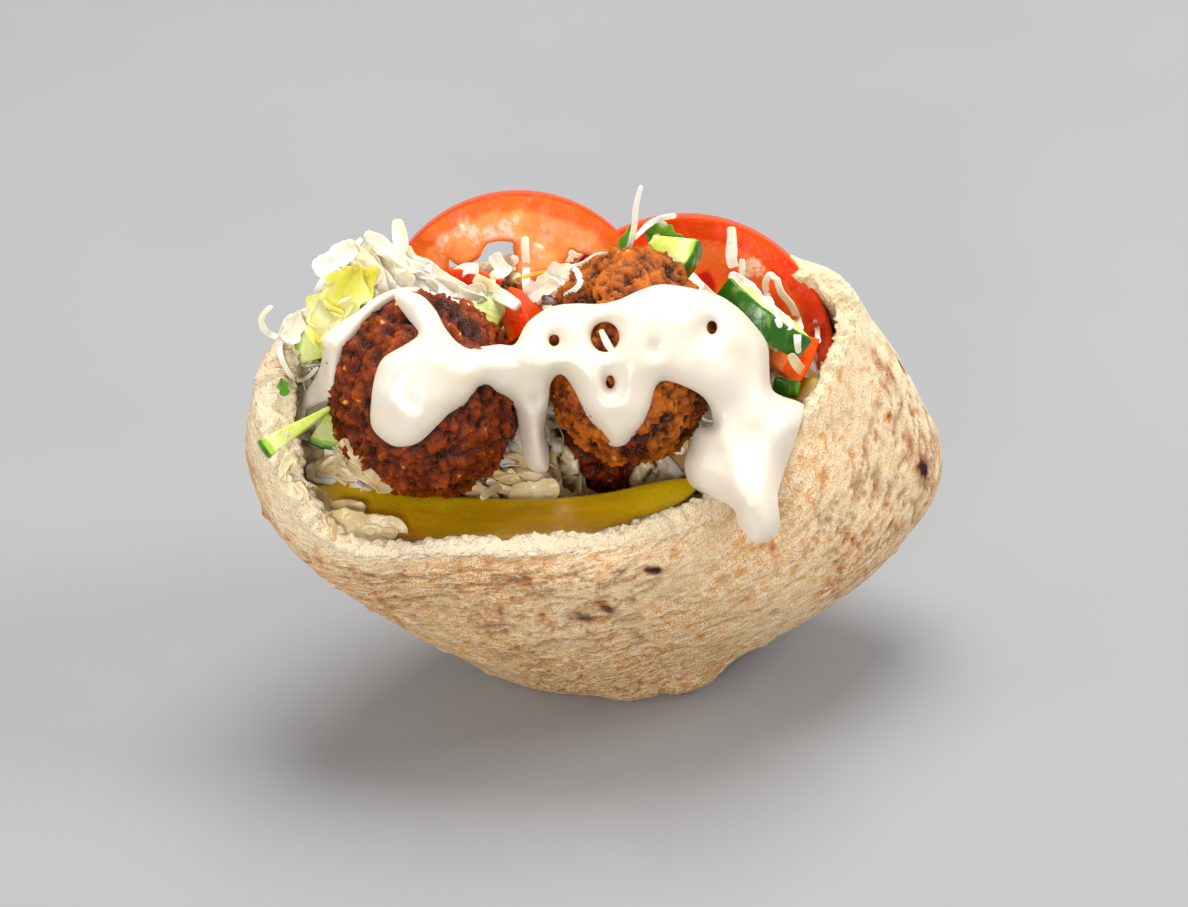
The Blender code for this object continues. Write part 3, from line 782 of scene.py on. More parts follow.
        for swelling in self.swellings:
            bulge = np.exp(-(self._from(swelling, turn, rise) ** 4))
            swell_out = np.maximum(swell_out, swelling.strength * MM * bulge)
        off_floor = smooth_step(0.5 * MM, 8 * MM, grid[..., 2])
        flour = smooth_step(-0.2, 0.5, fractal(grid, 40 * MM, 2, 131) + 0.9 * (rise - 0.6)) * 0.4
        # the right shoulder takes the flour tone in full, partly as painted light
        flour = np.maximum(flour, pale)
        return {
            "height": height * off_floor + swell_out * (1 - inside),
            "crumb": crumb, "toast": toast, "scorch": scorch, "crease": crease,
            "flour": flour, "hollow": hollow, "combed": combed, "rim": front * 0.85,
        }

    def _torn_lift(self, turn: Array, rise: Array, inside: Array) -> Array:
        """How far the torn rim stands above the plain one."""
        near_rim = smooth_step(0.9, 1.0, rise)[:, None]
        across = inside[:, None]
        ring = np.stack([np.cos(turn), np.sin(turn), 0 * turn], axis=-1) * 62 * MM
        ragged = fractal(ring, 7 * MM, 4, 141, 0.7)
        crown = np.where(rise[:, None] >= 1, self.crown * np.sin(math.pi * across), 0)
        return crown + near_rim * across * self.tear * ragged

    def _map_surface(self, obj: Thing, u: Array, v: Array) -> None:
        """Writes the UV map 'surface' in metres, with its seam kept to one column."""
        size = u.size
        flat = np.stack([np.append(u.ravel(), (0, 0)), np.append(v.ravel(), (0, float(v.max())))], axis=1)
        loops = np.empty(len(obj.data.loops), np.int32)
        obj.data.loops.foreach_get("vertex_index", loops)
        places = flat[loops]
        step = float(u[0, 1])
        seam = (loops % self.columns == 0) & (loops < size)
        previous = np.roll(loops, 1) % self.columns == self.columns - 1
        following = np.roll(loops, -1) % self.columns == self.columns - 1
        places[seam & (previous | following), 0] = float(u[0, -1]) + step
        layer = obj.data.uv_layers.new(name="surface")
        layer.data.foreach_set("uv", places.astype(np.float32).ravel())


# ---------------------------------------------------------------- the falafel
@dataclass(frozen=True)
class Ball:
    """One falafel ball: the model node it stands for, its centre and half-sizes in mm, its lean
    in degrees about X, a seed, and how golden it is from 0 to 1."""

    node: str
    centre: Point
    half_sizes: Point
    lean: float
    seed: int
    golden: float

    def matrix(self) -> Matrix:
        """Takes a ball of radius 1 to this one."""
        lean = Matrix.Rotation(math.radians(self.lean), 4, "X")
        stretch = Matrix.Diagonal((*(Vector(self.half_sizes) * MM), 1))
        return Matrix.Translation(Vector(self.centre) * MM) @ lean @ stretch


@dataclass
class FalafelBalls:
    """The fried balls: round forms under a crust of crumbs, chunks and crevices."""

    balls: tuple[Ball, ...] = (
        Ball("falafel_left", (-38, -12.5, 85), (21.5, 21, 24), 0, 3, 0.0),
        Ball("falafel_upper", (8.5, -9, 93), (19.5, 16.5, 24), -35, 11, 0.75),
        Ball("falafel_lower", (5, 12, 61.5), (20, 19.5, 19.5), 0, 7, 0.02),
    )
    finish: FriedFalafelCrust = field(default_factory=FriedFalafelCrust)
    fineness: int = 6  # subdivisions of the sphere, about 0.4 mm between points
    chunk: float = 3.4 * MM
    crumb: float = 1.4 * MM
    grit: float = 0.7 * MM
    swelling: float = 1.2 * MM
    crag: float = 1.35 * MM
    overhang: float = 0.45 * MM

    def build(self) -> list[Thing]:
        """Returns the finished balls, each of which stands for its model node."""
        material = self.finish.build()
        return [dress(self._ball(ball), material, "falafel", ball.node) for ball in self.balls]

    def _ball(self, ball: Ball) -> Thing:
        """A dense sphere drawn to the ball's size and roughened."""
        bm = bmesh.new()
        bmesh.ops.create_icosphere(bm, subdivisions=self.fineness, radius=1)
        mesh = bpy.data.meshes.new(ball.node + "_fried")
        bm.to_mesh(mesh)
        bm.free()
        obj = placed(mesh.name, mesh)
        on_sphere = positions(obj)
        obj.data.transform(ball.matrix())
        obj.data.update()
        outward = normals(obj)
        points = positions(obj)
        lump = fractal(points, 14 * MM, 2, ball.seed)
        warp = np.stack([fractal(points, 3 * MM, 2, ball.seed + 20 + i) for i in range(3)], axis=-1)
        bent = points + warp * 1.1 * MM
        chunk, _ = cell_noise(bent, self.chunk, ball.seed + 30)
        crumb, number = cell_noise(bent, self.crumb, ball.seed + 40)
        grit, _ = cell_noise(points, self.grit, ball.seed + 50)
        pit = smooth_step(0.25, 0.5, fractal(points, 5.5 * MM, 2, ball.seed + 60))
        craggy = 1.15 * fractal(points, 2.4 * MM, 4, ball.seed + 70, 0.6)
        height = 0.75 * (0.5 - chunk) + 1.25 * (0.5 - crumb) + 1.0 * (0.5 - grit) + craggy - 0.6 * pit
        height = np.minimum(height, 1.05)
        move = lump * self.swelling + height * self.crag
        move_points(obj, points + outward * move[:, None] + warp * self.overhang)
        obj.data.shade_smooth()
        paint(obj, "height", np.clip(0.5 + height * 0.42, 0, 1))
        paint(obj, "crumb_number", number)
        pale = ball.golden * smooth_step(
            -0.15, 0.4, fractal(on_sphere, 0.4, 3, ball.seed + 80) + 0.4 * ball.golden
        )
        paint(obj, "pale", pale)
        return obj


# ---------------------------------------------------------------- the sauce
@dataclass(frozen=True)
class Table:
    """The slanted plane on which flat outlines are drawn, and the eye that looks square at it.

    An outline's points are millimetres across (+X) and up the plane from its middle, which is
    over the origin. The eye looks down at it from the front, so that a line from the eye
    through an outline's point meets the food where that point of the outline belongs.
    """

    middle: Point = (0, 0, 60)
    look_down: float = math.radians(35)
    reach: float = 770

    def eye(self) -> Array:
        """Where the eye is, in metres."""
        back = np.array([0, -math.cos(self.look_down), math.sin(self.look_down)]) * self.reach
        return (np.array(self.middle, float) + back) * MM

    def up(self) -> Array:
        """The plane's upward direction."""
        return np.array([0, math.sin(self.look_down), math.cos(self.look_down)])

    def rays(self, across: Array, up: Array) -> Array:
        """Unit directions from the eye through places on the plane, given in metres."""
        spots = np.array(self.middle, float) * MM + across[..., None] * np.array([1.0, 0, 0])
        spots = spots + up[..., None] * self.up()
        return unit(spots - self.eye())

    def at(self, across: Array | float, up: Array | float, y: Array | float) -> Array:
        """The place, in metres, where the sight line through (across, up) in mm reaches y in mm."""
        ways = self.rays(np.asarray(across, float) * MM, np.asarray(up, float) * MM)
        eye = self.eye()
        share = (np.asarray(y, float) * MM - eye[1]) / ways[..., 1]
        return eye + ways * share[..., None]

    def onto(self, under: BVHTree, places: Array) -> Array:
        """Where sight lines meet what is under them, less each place's own stand-off.

        Args:
            under: what the places lie on.
            places: rows of across, up and stand-off, in mm.

        Returns:
            The places, in metres.
        """
        eye, ways = self.eye(), self.rays(places[:, 0] * MM, places[:, 1] * MM)
        far = [under.ray_cast(Vector(eye), Vector(way))[3] for way in ways]
        known = [distance for distance in far if distance is not None]
        far = np.array([np.mean(known) if distance is None else distance for distance in far])
        return eye + ways * (far - places[:, 2] * MM)[:, None]


def closed_curve(spots: Sequence[Spot], steps: int = 6) -> Array:
    """A smooth closed outline through its spots, in metres."""
    ring = np.array(list(spots) + list(spots[:3]), float)
    count = len(spots) * steps
    shares = (1 + np.arange(count) / steps) / (len(ring) - 1)
    return smooth_through(ring, shares) * MM


def inside_distance(outline: Array, across: Array, up: Array) -> Array:
    """Distance to a closed outline from each place: above 0 inside it, below 0 outside."""
    px, py = across.ravel(), up.ravel()
    ax, ay = outline[:, 0], outline[:, 1]
    bx, by = np.roll(ax, -1), np.roll(ay, -1)
    best = np.full(px.shape, np.inf)
    odd = np.zeros(px.shape, bool)
    for x0, y0, x1, y1 in zip(ax, ay, bx, by):
        dx, dy = x1 - x0, y1 - y0
        share = np.clip(((px - x0) * dx + (py - y0) * dy) / max(dx * dx + dy * dy, 1e-18), 0, 1)
        best = np.minimum(best, np.hypot(px - x0 - share * dx, py - y0 - share * dy))
        if y0 != y1:
            crosses = (y0 > py) != (y1 > py)
            odd ^= crosses & (px < x0 + (py - y0) / dy * dx)
    return np.where(odd, best, -best).reshape(across.shape)


def edge_of(outline: Sequence[Spot], across: Array, up: Array) -> Array:
    """Distance to a smooth outline in mm from places in mm: above 0 inside it."""
    return inside_distance(closed_curve(outline) / MM, across, up)


def blurred(values: Array, reach: float) -> Array:
    """A 2-D field smoothed with a bell curve; reach is in grid steps."""
    width = int(3 * reach) + 1
    bell = np.exp(-0.5 * (np.arange(-width, width + 1) / reach) ** 2)
    bell /= bell.sum()
    for axis in (0, 1):
        padded = np.pad(values, [(width, width) if a == axis else (0, 0) for a in (0, 1)], mode="edge")
        count = values.shape[axis]
        values = sum(w * np.take(padded, range(i, i + count), axis) for i, w in enumerate(bell))
    return values


@dataclass(frozen=True)
class Ridge:
    """A rope of sauce that stands out of the layer: its line on the table plane, how high, how wide."""

    line: tuple[Spot, ...]
    height: float
    width: float


@dataclass(frozen=True)
class Pool:
    """One poured body of sauce: its outline, the holes in it, its ridges, its nodes and its size."""

    name: str
    nodes: tuple[str, ...]
    outline: tuple[Spot, ...]
    thickness: float
    bead: float
    holes: tuple[tuple[float, float, float, float], ...] = ()
    dimples: tuple[tuple[float, float, float], ...] = ()
    ridges: tuple[Ridge, ...] = ()


@dataclass
class PouredSauce:
    """The sauce: a thick layer that lies on what is under it and bridges the gaps between."""

    pools: tuple[Pool, ...]
    finish: TahiniSauce = field(default_factory=TahiniSauce)
    table: Table = field(default_factory=Table)
    step: float = 0.5 * MM
    margin: float = 3 * MM
    bridge: float = 6 * MM  # half the width of gap that the sauce spans
    hole_rounding: float = 1.2 * MM
    sunk: float = 1.6 * MM  # how far the underside lies in what is below
    deepest: float = 8.5 * MM  # what lies further below the model's sauce is bridged
    bridge_depth: float = 6 * MM
    dimple: float = 2.2 * MM

    def build(self, underneath: Sequence[Thing]) -> list[Thing]:
        """Returns the finished pools.

        Args:
            underneath: the finished pieces that the sauce lies on.
        """
        material = self.finish.build()
        ground = tree_of(underneath)
        built = []
        for pool in self.pools:
            stand_ins = tree_of([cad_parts[node] for node in pool.nodes])
            obj = self._pool(pool, ground, stand_ins)
            built.append(dress(obj, material, "sauce", *pool.nodes))
        return built

    def _pool(self, pool: Pool, ground: BVHTree, stand_ins: BVHTree) -> Thing:
        """One body: a field of depth along the rays from the eye, cut out by its outline."""
        outline = closed_curve(pool.outline)
        low, high = outline.min(0) - self.margin, outline.max(0) + self.margin
        axes = [np.arange(low[i], high[i], self.step) for i in (0, 1)]
        across, up = np.meshgrid(*axes, indexing="ij")
        edge = inside_distance(outline, across, up)
        for x, y, wide, tall in pool.holes:
            hole = 1 - np.hypot((across / MM - x) / wide, (up / MM - y) / tall)
            edge = soft_least(edge, -hole * min(wide, tall) * MM, self.hole_rounding)
        base = self._base(ground, stand_ins, across, up)
        share = np.clip(edge / (pool.bead * MM), 0, 1)
        swell = np.sqrt(1 - (1 - share) ** 2)
        thick = pool.thickness * MM * swell
        thick = thick + self._ridges(pool, across, up) * smooth_step(0, 3 * MM, edge)
        front = blurred(base - thick, 1.2)
        back = base + self.sunk * swell
        depth = np.arange(front.min() - self.margin, back.max() + self.margin, self.step)
        slab = np.maximum(front[..., None] - depth, depth - back[..., None])
        values = np.maximum(slab, -edge[..., None] * 0.9)
        points, quads = skin_of(values, np.array([low[0], low[1], depth[0]]), self.step)
        ways = self.table.rays(points[:, 0], points[:, 1])
        spots = self.table.eye() + ways * points[:, 2:3]
        return mesh_object(pool.name, spots, quads[:, ::-1])

    def _ridges(self, pool: Pool, across: Array, up: Array) -> Array:
        """Extra height where ropes of sauce lie, less what the dimples take away."""
        extra = np.zeros(across.shape)
        for ridge in pool.ridges:
            line = smooth_through(ridge.line, np.linspace(0, 1, 12 * len(ridge.line))) * MM
            away = np.full(across.shape, np.inf)
            for x, y in line:
                away = np.minimum(away, np.hypot(across - x, up - y))
            extra += ridge.height * MM * np.exp(-((away / (ridge.width * MM)) ** 2))
        for x, y, wide in pool.dimples:
            away = np.hypot(across / MM - x, up / MM - y)
            extra -= self.dimple * np.exp(-((away / wide) ** 2))
        return extra

    def _base(self, ground: BVHTree, stand_ins: BVHTree, across: Array, up: Array) -> Array:
        """How far from the eye the layer's underside is: on what is below, or bridging a gap."""
        eye = Vector(self.table.eye())
        ways = self.table.rays(across, up)
        base = np.full(across.shape, np.nan)
        for i, j in np.ndindex(across.shape):
            way = Vector(ways[i, j])
            sauce = stand_ins.ray_cast(eye, way)
            food = ground.ray_cast(eye, way)
            if sauce[0] is None:
                continue
            if food[0] is not None and food[3] - sauce[3] < self.deepest:
                base[i, j] = food[3]
            else:
                base[i, j] = sauce[3] + self.bridge_depth
        reach = int(self.bridge / self.step)
        return spread_out(grown(grown(base, reach, np.fmin), reach, np.fmax), 2.0)


def grown(values: Array, steps: int, pick: Callable) -> Array:
    """A 2-D field whose lower (or higher) values have spread out by a number of grid steps."""
    for step in range(steps):
        padded = np.pad(values, 1, mode="edge")
        shifts = [(1, 1), (0, 1), (2, 1), (1, 0), (1, 2)]
        shifts += [(0, 0), (0, 2), (2, 0), (2, 2)] if step % 2 else []
        rows, columns = values.shape
        for i, j in shifts:
            values = pick(values, padded[i : i + rows, j : j + columns])
    return values


def spread_out(values: Array, reach: float) -> Array:
    """Fills a field's gaps from round about them, and smooths it; reach is in grid steps."""
    known = ~np.isnan(values)
    filled = np.where(known, values, 0.0)
    weight = known.astype(float)
    total, share = blurred(filled, reach), blurred(weight, reach)
    result = np.where(share > 1e-3, total / np.maximum(share, 1e-9), np.nan)
    width = reach
    while np.isnan(result).any():
        width *= 2
        total, share = blurred(filled, width), blurred(weight, width)
        wider = np.where(share > 1e-3, total / np.maximum(share, 1e-9), np.nan)
        result = np.where(np.isnan(result), wider, result)
    return blurred(result, reach)


def tree_of(objects: Sequence[Thing]) -> BVHTree:
    """One search tree over several meshes."""
    points: list[Vector] = []
    faces: list[tuple[int, ...]] = []
    for obj in objects:
        start = len(points)
        points += [vert.co.copy() for vert in obj.data.vertices]
        faces += [tuple(start + i for i in face.vertices) for face in obj.data.polygons]
    return BVHTree.FromPolygons(points, faces)


# ---------------------------------------------------------------- finishes of the salad
@dataclass(frozen=True)
class RipeTomato(Finish):
    """Fresh tomato, sliced: a thin waxy skin, firm wet flesh, and jelly in the seed chambers."""

    name: str = "ripe_tomato_flesh"
    skin: str = "#E24606"
    band: str = "#F87420"
    deep_band: str = "#F23400"
    flesh: str = "#FFB064"
    # pale flesh, also the tone of the painted highlights
    pale: str = "#FDD0B4"
    deep: str = "#FF5A02"
    jelly: str = "#D41E00"
    lip: str = "#F07A2C"
    seed: str = "#FCD9A6"

    def surface(self, tree: Tree, place: Socket) -> Inputs:
        """Reads skin, depth of red, pale flesh with its painted highlights, and jelly from the slice."""
        cloud = add(tree, NOISE, place, grains(5.0), 3.0)
        grain = add(tree, NOISE, place, grains(0.9), 2.0)
        rich = add(tree, CARRIED, attribute_name="rich")
        flesh = add(tree, MIX, rich, self.flesh, self.deep)
        flesh = add(tree, MIX, add(tree, RANGE, cloud, 0.45, 0.7, 0.5), flesh, self.band)
        fibre = add(tree, NOISE, place, grains(1.6), 3.0)
        fibrous = add(tree, RANGE, fibre, 0.32, 0.55)
        pallor = add(tree, TIMES, add(tree, CARRIED, attribute_name="pallor"), fibrous)
        # pale flesh at random, and painted highlights at the spots
        flesh = add(tree, MIX, pallor, flesh, self.pale)
        flesh = add(tree, MIX, add(tree, RANGE, grain, 0.58, 0.8, 0.2), flesh, self.pale)
        band = add(tree, MIX, rich, self.band, self.deep_band)
        colour = flesh
        tones = {"jelly": self.jelly, "band": band, "lip": self.lip, "seed": self.seed, "skin": self.skin}
        for name, tone in tones.items():
            colour = add(tree, MIX, add(tree, CARRIED, attribute_name=name), colour, tone)
        return {
            "Base Color": colour,
            "Normal": add(tree, BUMP, grain, 0.18 * MM),
            "Roughness": 0.28,
            "Specular IOR Level": 0.13,
            **let_in(0.15, (1.0, 0.25, 0.08), 3.0),
        }


@dataclass(frozen=True)
class FreshCucumber(Finish):
    """Cucumber, cut with its peel on: glossy dark green peel, then pale wet flesh, seeds within."""

    name: str = "fresh_cucumber"
    peel: str = "#2A6606"
    peel_streak: str = "#78AE22"
    under_peel: str = "#A8CE3A"
    flesh: str = "#E2EC98"
    seeds: str = "#D2DC5E"
    wet: str = "#F1F5CF"

    def surface(self, tree: Tree, place: Socket) -> Inputs:
        """Reads the peel, and how near the seeds, from the piece."""
        streak = add(tree, NOISE, add(tree, STRETCH, place, (1, 1, 1 / 3)), grains(2.0), 2.0)
        grain = add(tree, NOISE, place, grains(1.4), 2.0)
        peel = add(tree, MIX, add(tree, RANGE, streak, 0.5, 0.72, 0.8), self.peel, self.peel_streak)
        flesh = add(tree, MIX, add(tree, CARRIED, attribute_name="heart"), self.flesh, self.seeds)
        flesh = add(tree, MIX, add(tree, RANGE, grain, 0.5, 0.7, 0.35), flesh, self.wet)
        colour = add(tree, MIX, add(tree, CARRIED, attribute_name="band"), flesh, self.under_peel)
        colour = add(tree, MIX, add(tree, CARRIED, attribute_name="skin"), colour, peel)
        return {
            "Base Color": colour,
            "Normal": add(tree, BUMP, grain, 0.12 * MM),
            "Roughness": 0.25,
            **let_in(0.3, (0.7, 1.0, 0.3), 2.5),
        }


@dataclass(frozen=True)
class PickledCucumber(Finish):
    """Cucumber soaked in brine: olive yellow all through, limp, translucent and glossy."""

    name: str = "pickled_cucumber"
    flesh: str = "#BC8A04"
    edge: str = "#985E06"
    # painted light along the near edge; the same pale tone also drifts through in clouds
    light: str = "#E8C412"

    def surface(self, tree: Tree, place: Socket) -> Inputs:
        """Browner along the plank's far edge, with painted light along its near edge and towards its end."""
        cloud = add(tree, NOISE, add(tree, STRETCH, place, (1 / 4, 1, 1)), grains(6.0), 3.0)
        fleck = add(tree, NOISE, place, grains(1.0), 2.0)
        colour = add(tree, MIX, add(tree, CARRIED, attribute_name="far_edge"), self.flesh, self.edge)
        colour = add(tree, MIX, add(tree, CARRIED, attribute_name="near_edge"), colour, self.light)
        colour = add(tree, MIX, add(tree, RANGE, cloud, 0.42, 0.66, 0.55), colour, self.light)
        colour = add(tree, MIX, add(tree, RANGE, fleck, 0.62, 0.75, 0.4), colour, self.edge)
        return {
            "Base Color": colour,
            "Normal": add(tree, BUMP, fleck, 0.15 * MM),
            "Roughness": 0.33,
            "Specular IOR Level": 0.4,
            **let_in(0.3, (1.0, 0.7, 0.1), 3.0),
        }


@dataclass(frozen=True)
class ShredFinish(Finish):
    """Thin wet plant matter, sliced fine: light comes through it, and its cut faces shine.

    One finish for each kind of shred: its name, its two tones, its gloss and how much light it
    lets through.
    """

    name: str
    tone: str
    second_tone: str
    roughness: float = 0.3
    see_through: float = 0.15

    def surface(self, tree: Tree, place: Socket) -> Inputs:
        """A tone that drifts from shred to shred."""
        drift = add(tree, NOISE, place, grains(9.0), 2.0)
        vein = add(tree, NOISE, place, grains(1.2), 2.0)
        colour = add(tree, MIX, add(tree, RANGE, drift, 0.38, 0.62), self.tone, self.second_tone)
        return {
            "Base Color": colour,
            "Normal": add(tree, BUMP, vein, 0.2 * MM),
            "Roughness": self.roughness,
            "Transmission Weight": self.see_through,
            "IOR": 1.36,
            **let_in(0.35, (1.0, 0.9, 0.5), 2.0),
        }


@dataclass(frozen=True)
class PackedSalad(Finish):
    """The salad deep in the pocket: pale cabbage above, and below it brined cabbage, painted darker as shade
    deep in the pocket.
    """

    name: str = "packed_salad"
    fresh: str = "#FFF3B8"
    fresh_shade: str = "#E9D684"
    # the brined tones: brined cabbage, darkened as painted shade deep in the pocket
    brined: str = "#C0904A"
    brined_shade: str = "#8E6626"

    def surface(self, tree: Tree, place: Socket) -> Inputs:
        """Reads the core's zone."""
        cloud = add(tree, RANGE, add(tree, NOISE, place, grains(5.0), 3.0), 0.42, 0.6)
        low = add(tree, MIX, cloud, self.brined, self.brined_shade)
        high = add(tree, MIX, cloud, self.fresh, self.fresh_shade)
        return {
            "Base Color": add(tree, MIX, add(tree, CARRIED, attribute_name="zone"), low, high),
            "Normal": add(tree, BUMP, add(tree, NOISE, place, grains(1.0), 2.0), 0.2 * MM),
            "Roughness": 0.35,
            **let_in(0.2, (1.0, 0.2, 0.1), 2.0),
        }


CABBAGE = ShredFinish("raw_white_cabbage", "#FFF8EA", "#FDF4D0", 0.35, 0.0)
CABBAGE_RIB = ShredFinish("raw_cabbage_rib", "#FFF2E0", "#F6E6B8", 0.3, 0.0)
PICKLED_CABBAGE = ShredFinish("brined_cabbage", "#E9C486", "#F8E0B0", 0.2, 0.0)
CARROT = ShredFinish("raw_carrot", "#F2A93B", "#F6C050", 0.35, 0.1)
PARSLEY = ShredFinish("parsley_leaf", "#3E7A14", "#5C9A24", 0.4, 0.05)
LETTUCE = ShredFinish("lettuce_leaf_blade", "#F8F4AE", "#ECE052", 0.35, 0.0)


# ---------------------------------------------------------------- cut vegetables
class Vegetable(Enum):
    """What a cut piece is of: decides its finish and how thick its skin shows."""

    TOMATO = "tomato"
    CUCUMBER = "cucumber"


# how thick the skin is, and the band under it, in mm
SKINS = {Vegetable.TOMATO: (0.55, 5.2), Vegetable.CUCUMBER: (0.9, 1.6)}


@dataclass(frozen=True)
class Piece:
    """A slice or a piece of one, as its model node has it, in mm and degrees.

    openings are holes right through the slice and jellies are chambers that still hold their
    jelly: closed outlines in the slice's own plane, X towards the middle of its skin side.
    spots are painted highlights, pale patches on the flesh each with its radius, and seeds have their turn in
    degrees.
    """

    node: str
    of: Vegetable
    middle: Point
    facing: Point
    side: Point
    radius: float
    core: float
    sweep: float
    thickness: float
    rich: float = 0.5
    openings: tuple[tuple[Spot, ...], ...] = ()
    jellies: tuple[tuple[Spot, ...], ...] = ()
    spots: tuple[Point, ...] = ()
    seeds: tuple[Point, ...] = ()

    def centre(self) -> float:
        """How far behind the piece's middle the whole slice's centre is, in mm."""
        return (self.radius + self.core) / 2 if self.core else 0.0


@dataclass
class CutVegetables:
    """The tomato slices and pieces and the cucumber pieces, each cut from a round slice."""

    pieces: tuple[Piece, ...]
    tomato: RipeTomato = field(default_factory=RipeTomato)
    cucumber: FreshCucumber = field(default_factory=FreshCucumber)
    rounding: float = 0.5
    waviness: float = 0.35
    fine_step: float = 0.25  # of the grid that a piece is sampled on
    whole_slice_step: float = 0.42
    spare: float = 1.5  # of the grid round the piece
    seed_reach: Spot = (1.4, 0.6)
    seed_height: float = 0.7
    jelly_depth: float = 0.9

    def build(self) -> list[Thing]:
        """Returns the finished pieces, each of which stands for its model node."""
        looks = {Vegetable.TOMATO: self.tomato.build(), Vegetable.CUCUMBER: self.cucumber.build()}
        built = []
        for seed, piece in enumerate(self.pieces):
            obj = self._piece(piece, seed)
            built.append(dress(obj, looks[piece.of], piece.of.value, piece.node))
        return built

    def _piece(self, piece: Piece, seed: int) -> Thing:
        """Samples the piece's field on a fine grid and takes its surface."""
        step = self.fine_step if piece.core else self.whole_slice_step
        half = piece.thickness / 2 + self.spare
        if piece.core:
            reach = piece.radius * math.sin(math.radians(piece.sweep) / 2) + self.spare
            deep = (piece.radius - piece.core) / 2
            low, high = (-deep - 3, -reach, -half), (deep + self.spare, reach, half)
        else:
            low, high = (-8, -piece.radius - 1, -half), (piece.radius + 1, piece.radius + 1, half)
        axes = [np.arange(a, b, step) for a, b in zip(low, high)]
        grid = np.stack(np.meshgrid(*axes, indexing="ij"), axis=-1)
        values = self._field(piece, grid, seed)
        points, quads = skin_of(values, np.array(low, float), step)
        obj = mesh_object(piece.node + "_cut", points * MM, quads)
        self._paint(obj, piece, points, seed)
        move_points(obj, moved(points * MM, bent_into_place(piece.middle, piece.facing, piece.side)))
        return obj

    def _flat(self, piece: Piece, grid: Array) -> tuple[Array, Array, Array]:
        """Distance from the whole slice's centre, the angle there, and distance outside the cut."""
        x, y = grid[..., 0] + piece.centre(), grid[..., 1]
        radius, angle = np.hypot(x, y), np.arctan2(y, x)
        half = math.radians(piece.sweep) / 2
        if piece.core:
            side = np.abs(angle) - half
            outside = np.maximum(radius - piece.radius, side * radius)
            outside = np.maximum(outside, piece.core - radius)
        else:
            outside = np.maximum(radius - piece.radius, piece.radius * math.cos(half) - x)
        return radius, angle, outside

    def _field(self, piece: Piece, grid: Array, seed: int) -> Array:
        """Below zero inside the piece: its outline given a thickness, rounded and wavy."""
        _, _, outside = self._flat(piece, grid)
        across, up = grid[:, :, 0, 0], grid[:, :, 0, 1]
        flat = outside[:, :, 0]
        ragged = fractal(np.stack([across, up, across * 0 + seed], axis=-1), 3.0, 2, 300 + seed)
        for opening in piece.openings:
            edge = edge_of(opening, across, up)
            flat = -soft_least(-flat, -(edge + ragged * 0.5), 1.0)
        recess = np.zeros(flat.shape)
        for jelly in piece.jellies:
            edge = edge_of(jelly, across, up)
            recess = np.maximum(recess, self.jelly_depth * smooth_step(-0.3, 1.6, edge + ragged * 0.6))
        face = fractal(np.stack([across, up, across * 0 + 9], axis=-1), 4.0, 3, 320 + seed) * self.waviness
        for x, y, turn in piece.seeds:
            face = face - self.seed_height * np.sqrt(np.clip(1 - self._seed(across - x, up - y, turn), 0, None))
        slab = np.abs(grid[..., 2] + face[..., None] * 0.5) - piece.thickness / 2
        slab = slab + (recess + 0.4 * face)[..., None]
        r = self.rounding
        a, b = np.maximum(flat[..., None] + r, 0), np.maximum(slab + r, 0)
        return np.minimum(np.maximum(flat[..., None] + r, slab + r), 0) + np.hypot(a, b) - r

    def _seed(self, across: Array, up: Array, turn: float) -> Array:
        """Squared distance from a seed's middle, 1 at its edge."""
        c, s = math.cos(math.radians(turn)), math.sin(math.radians(turn))
        long, short = self.seed_reach
        return ((across * c + up * s) / long) ** 2 + ((up * c - across * s) / short) ** 2

    def _paint(self, obj: Thing, piece: Piece, points: Array, seed: int) -> None:
        """Writes what the finishes read: skin, the band under it, jelly, pale flesh with painted highlights,
        and richness.
        """
        radius, _, _ = self._flat(piece, points)
        wobble = fractal(points, 2.5, 2, 340 + seed)
        patch = fractal(points, 6.0, 3, 360 + seed)
        inward = piece.radius - radius
        thin, wide = SKINS[piece.of]
        paint(obj, "skin", 1 - smooth_step(thin * 0.6, thin * 1.3, inward))
        fade = 0.55 if piece.openings else 0.9
        under_skin = inward + wobble * (2.0 - 1.6 * piece.rich)
        paint(obj, "band", (1 - smooth_step(wide * fade, wide, under_skin)) * 0.9)
        jelly = np.zeros(len(points))
        for outline in piece.jellies:
            edge = edge_of(outline, points[:, 0], points[:, 1])
            jelly = np.maximum(jelly, smooth_step(-0.4, 0.8, edge + wobble * 0.6))
        near = np.zeros(len(points))
        for outline in piece.openings:
            edge = edge_of(outline, points[:, 0], points[:, 1])
            near = np.maximum(near, smooth_step(-1.6, -0.2, edge))
        paint(obj, "jelly", jelly)
        paint(obj, "lip", near)
        pallor = smooth_step(0.1, 0.6, patch) * 0.45 * (1 - piece.rich) * smooth_step(2, 5, inward)
        ragged = fractal(points, 3.5, 4, 380 + seed, 0.65)
        # painted highlights: pale patches at the listed spots
        for x, y, reach in piece.spots:
            away = np.hypot(points[:, 0] - x, points[:, 1] - y) / reach
            pallor = np.maximum(pallor, 0.95 * smooth_step(0.0, 0.25, 1.0 - away + 1.1 * ragged))
        paint(obj, "pallor", pallor)
        seed_cover = np.zeros(len(points))
        for x, y, turn in piece.seeds:
            away = self._seed(points[:, 0] - x, points[:, 1] - y, turn)
            seed_cover = np.maximum(seed_cover, 1 - smooth_step(0.7, 1.2, away))
        paint(obj, "seed", seed_cover)
        paint(obj, "rich", np.clip(piece.rich + 0.35 * patch, 0, 1))
        paint(obj, "heart", smooth_step(3.0, 6.5, inward + wobble))


@dataclass(frozen=True)
class Plank:
    """A lengthwise pickle slice: its model node, a centre line in mm, its width and thickness."""

    node: str
    line: tuple[Point, ...]
    width: float
    thickness: float


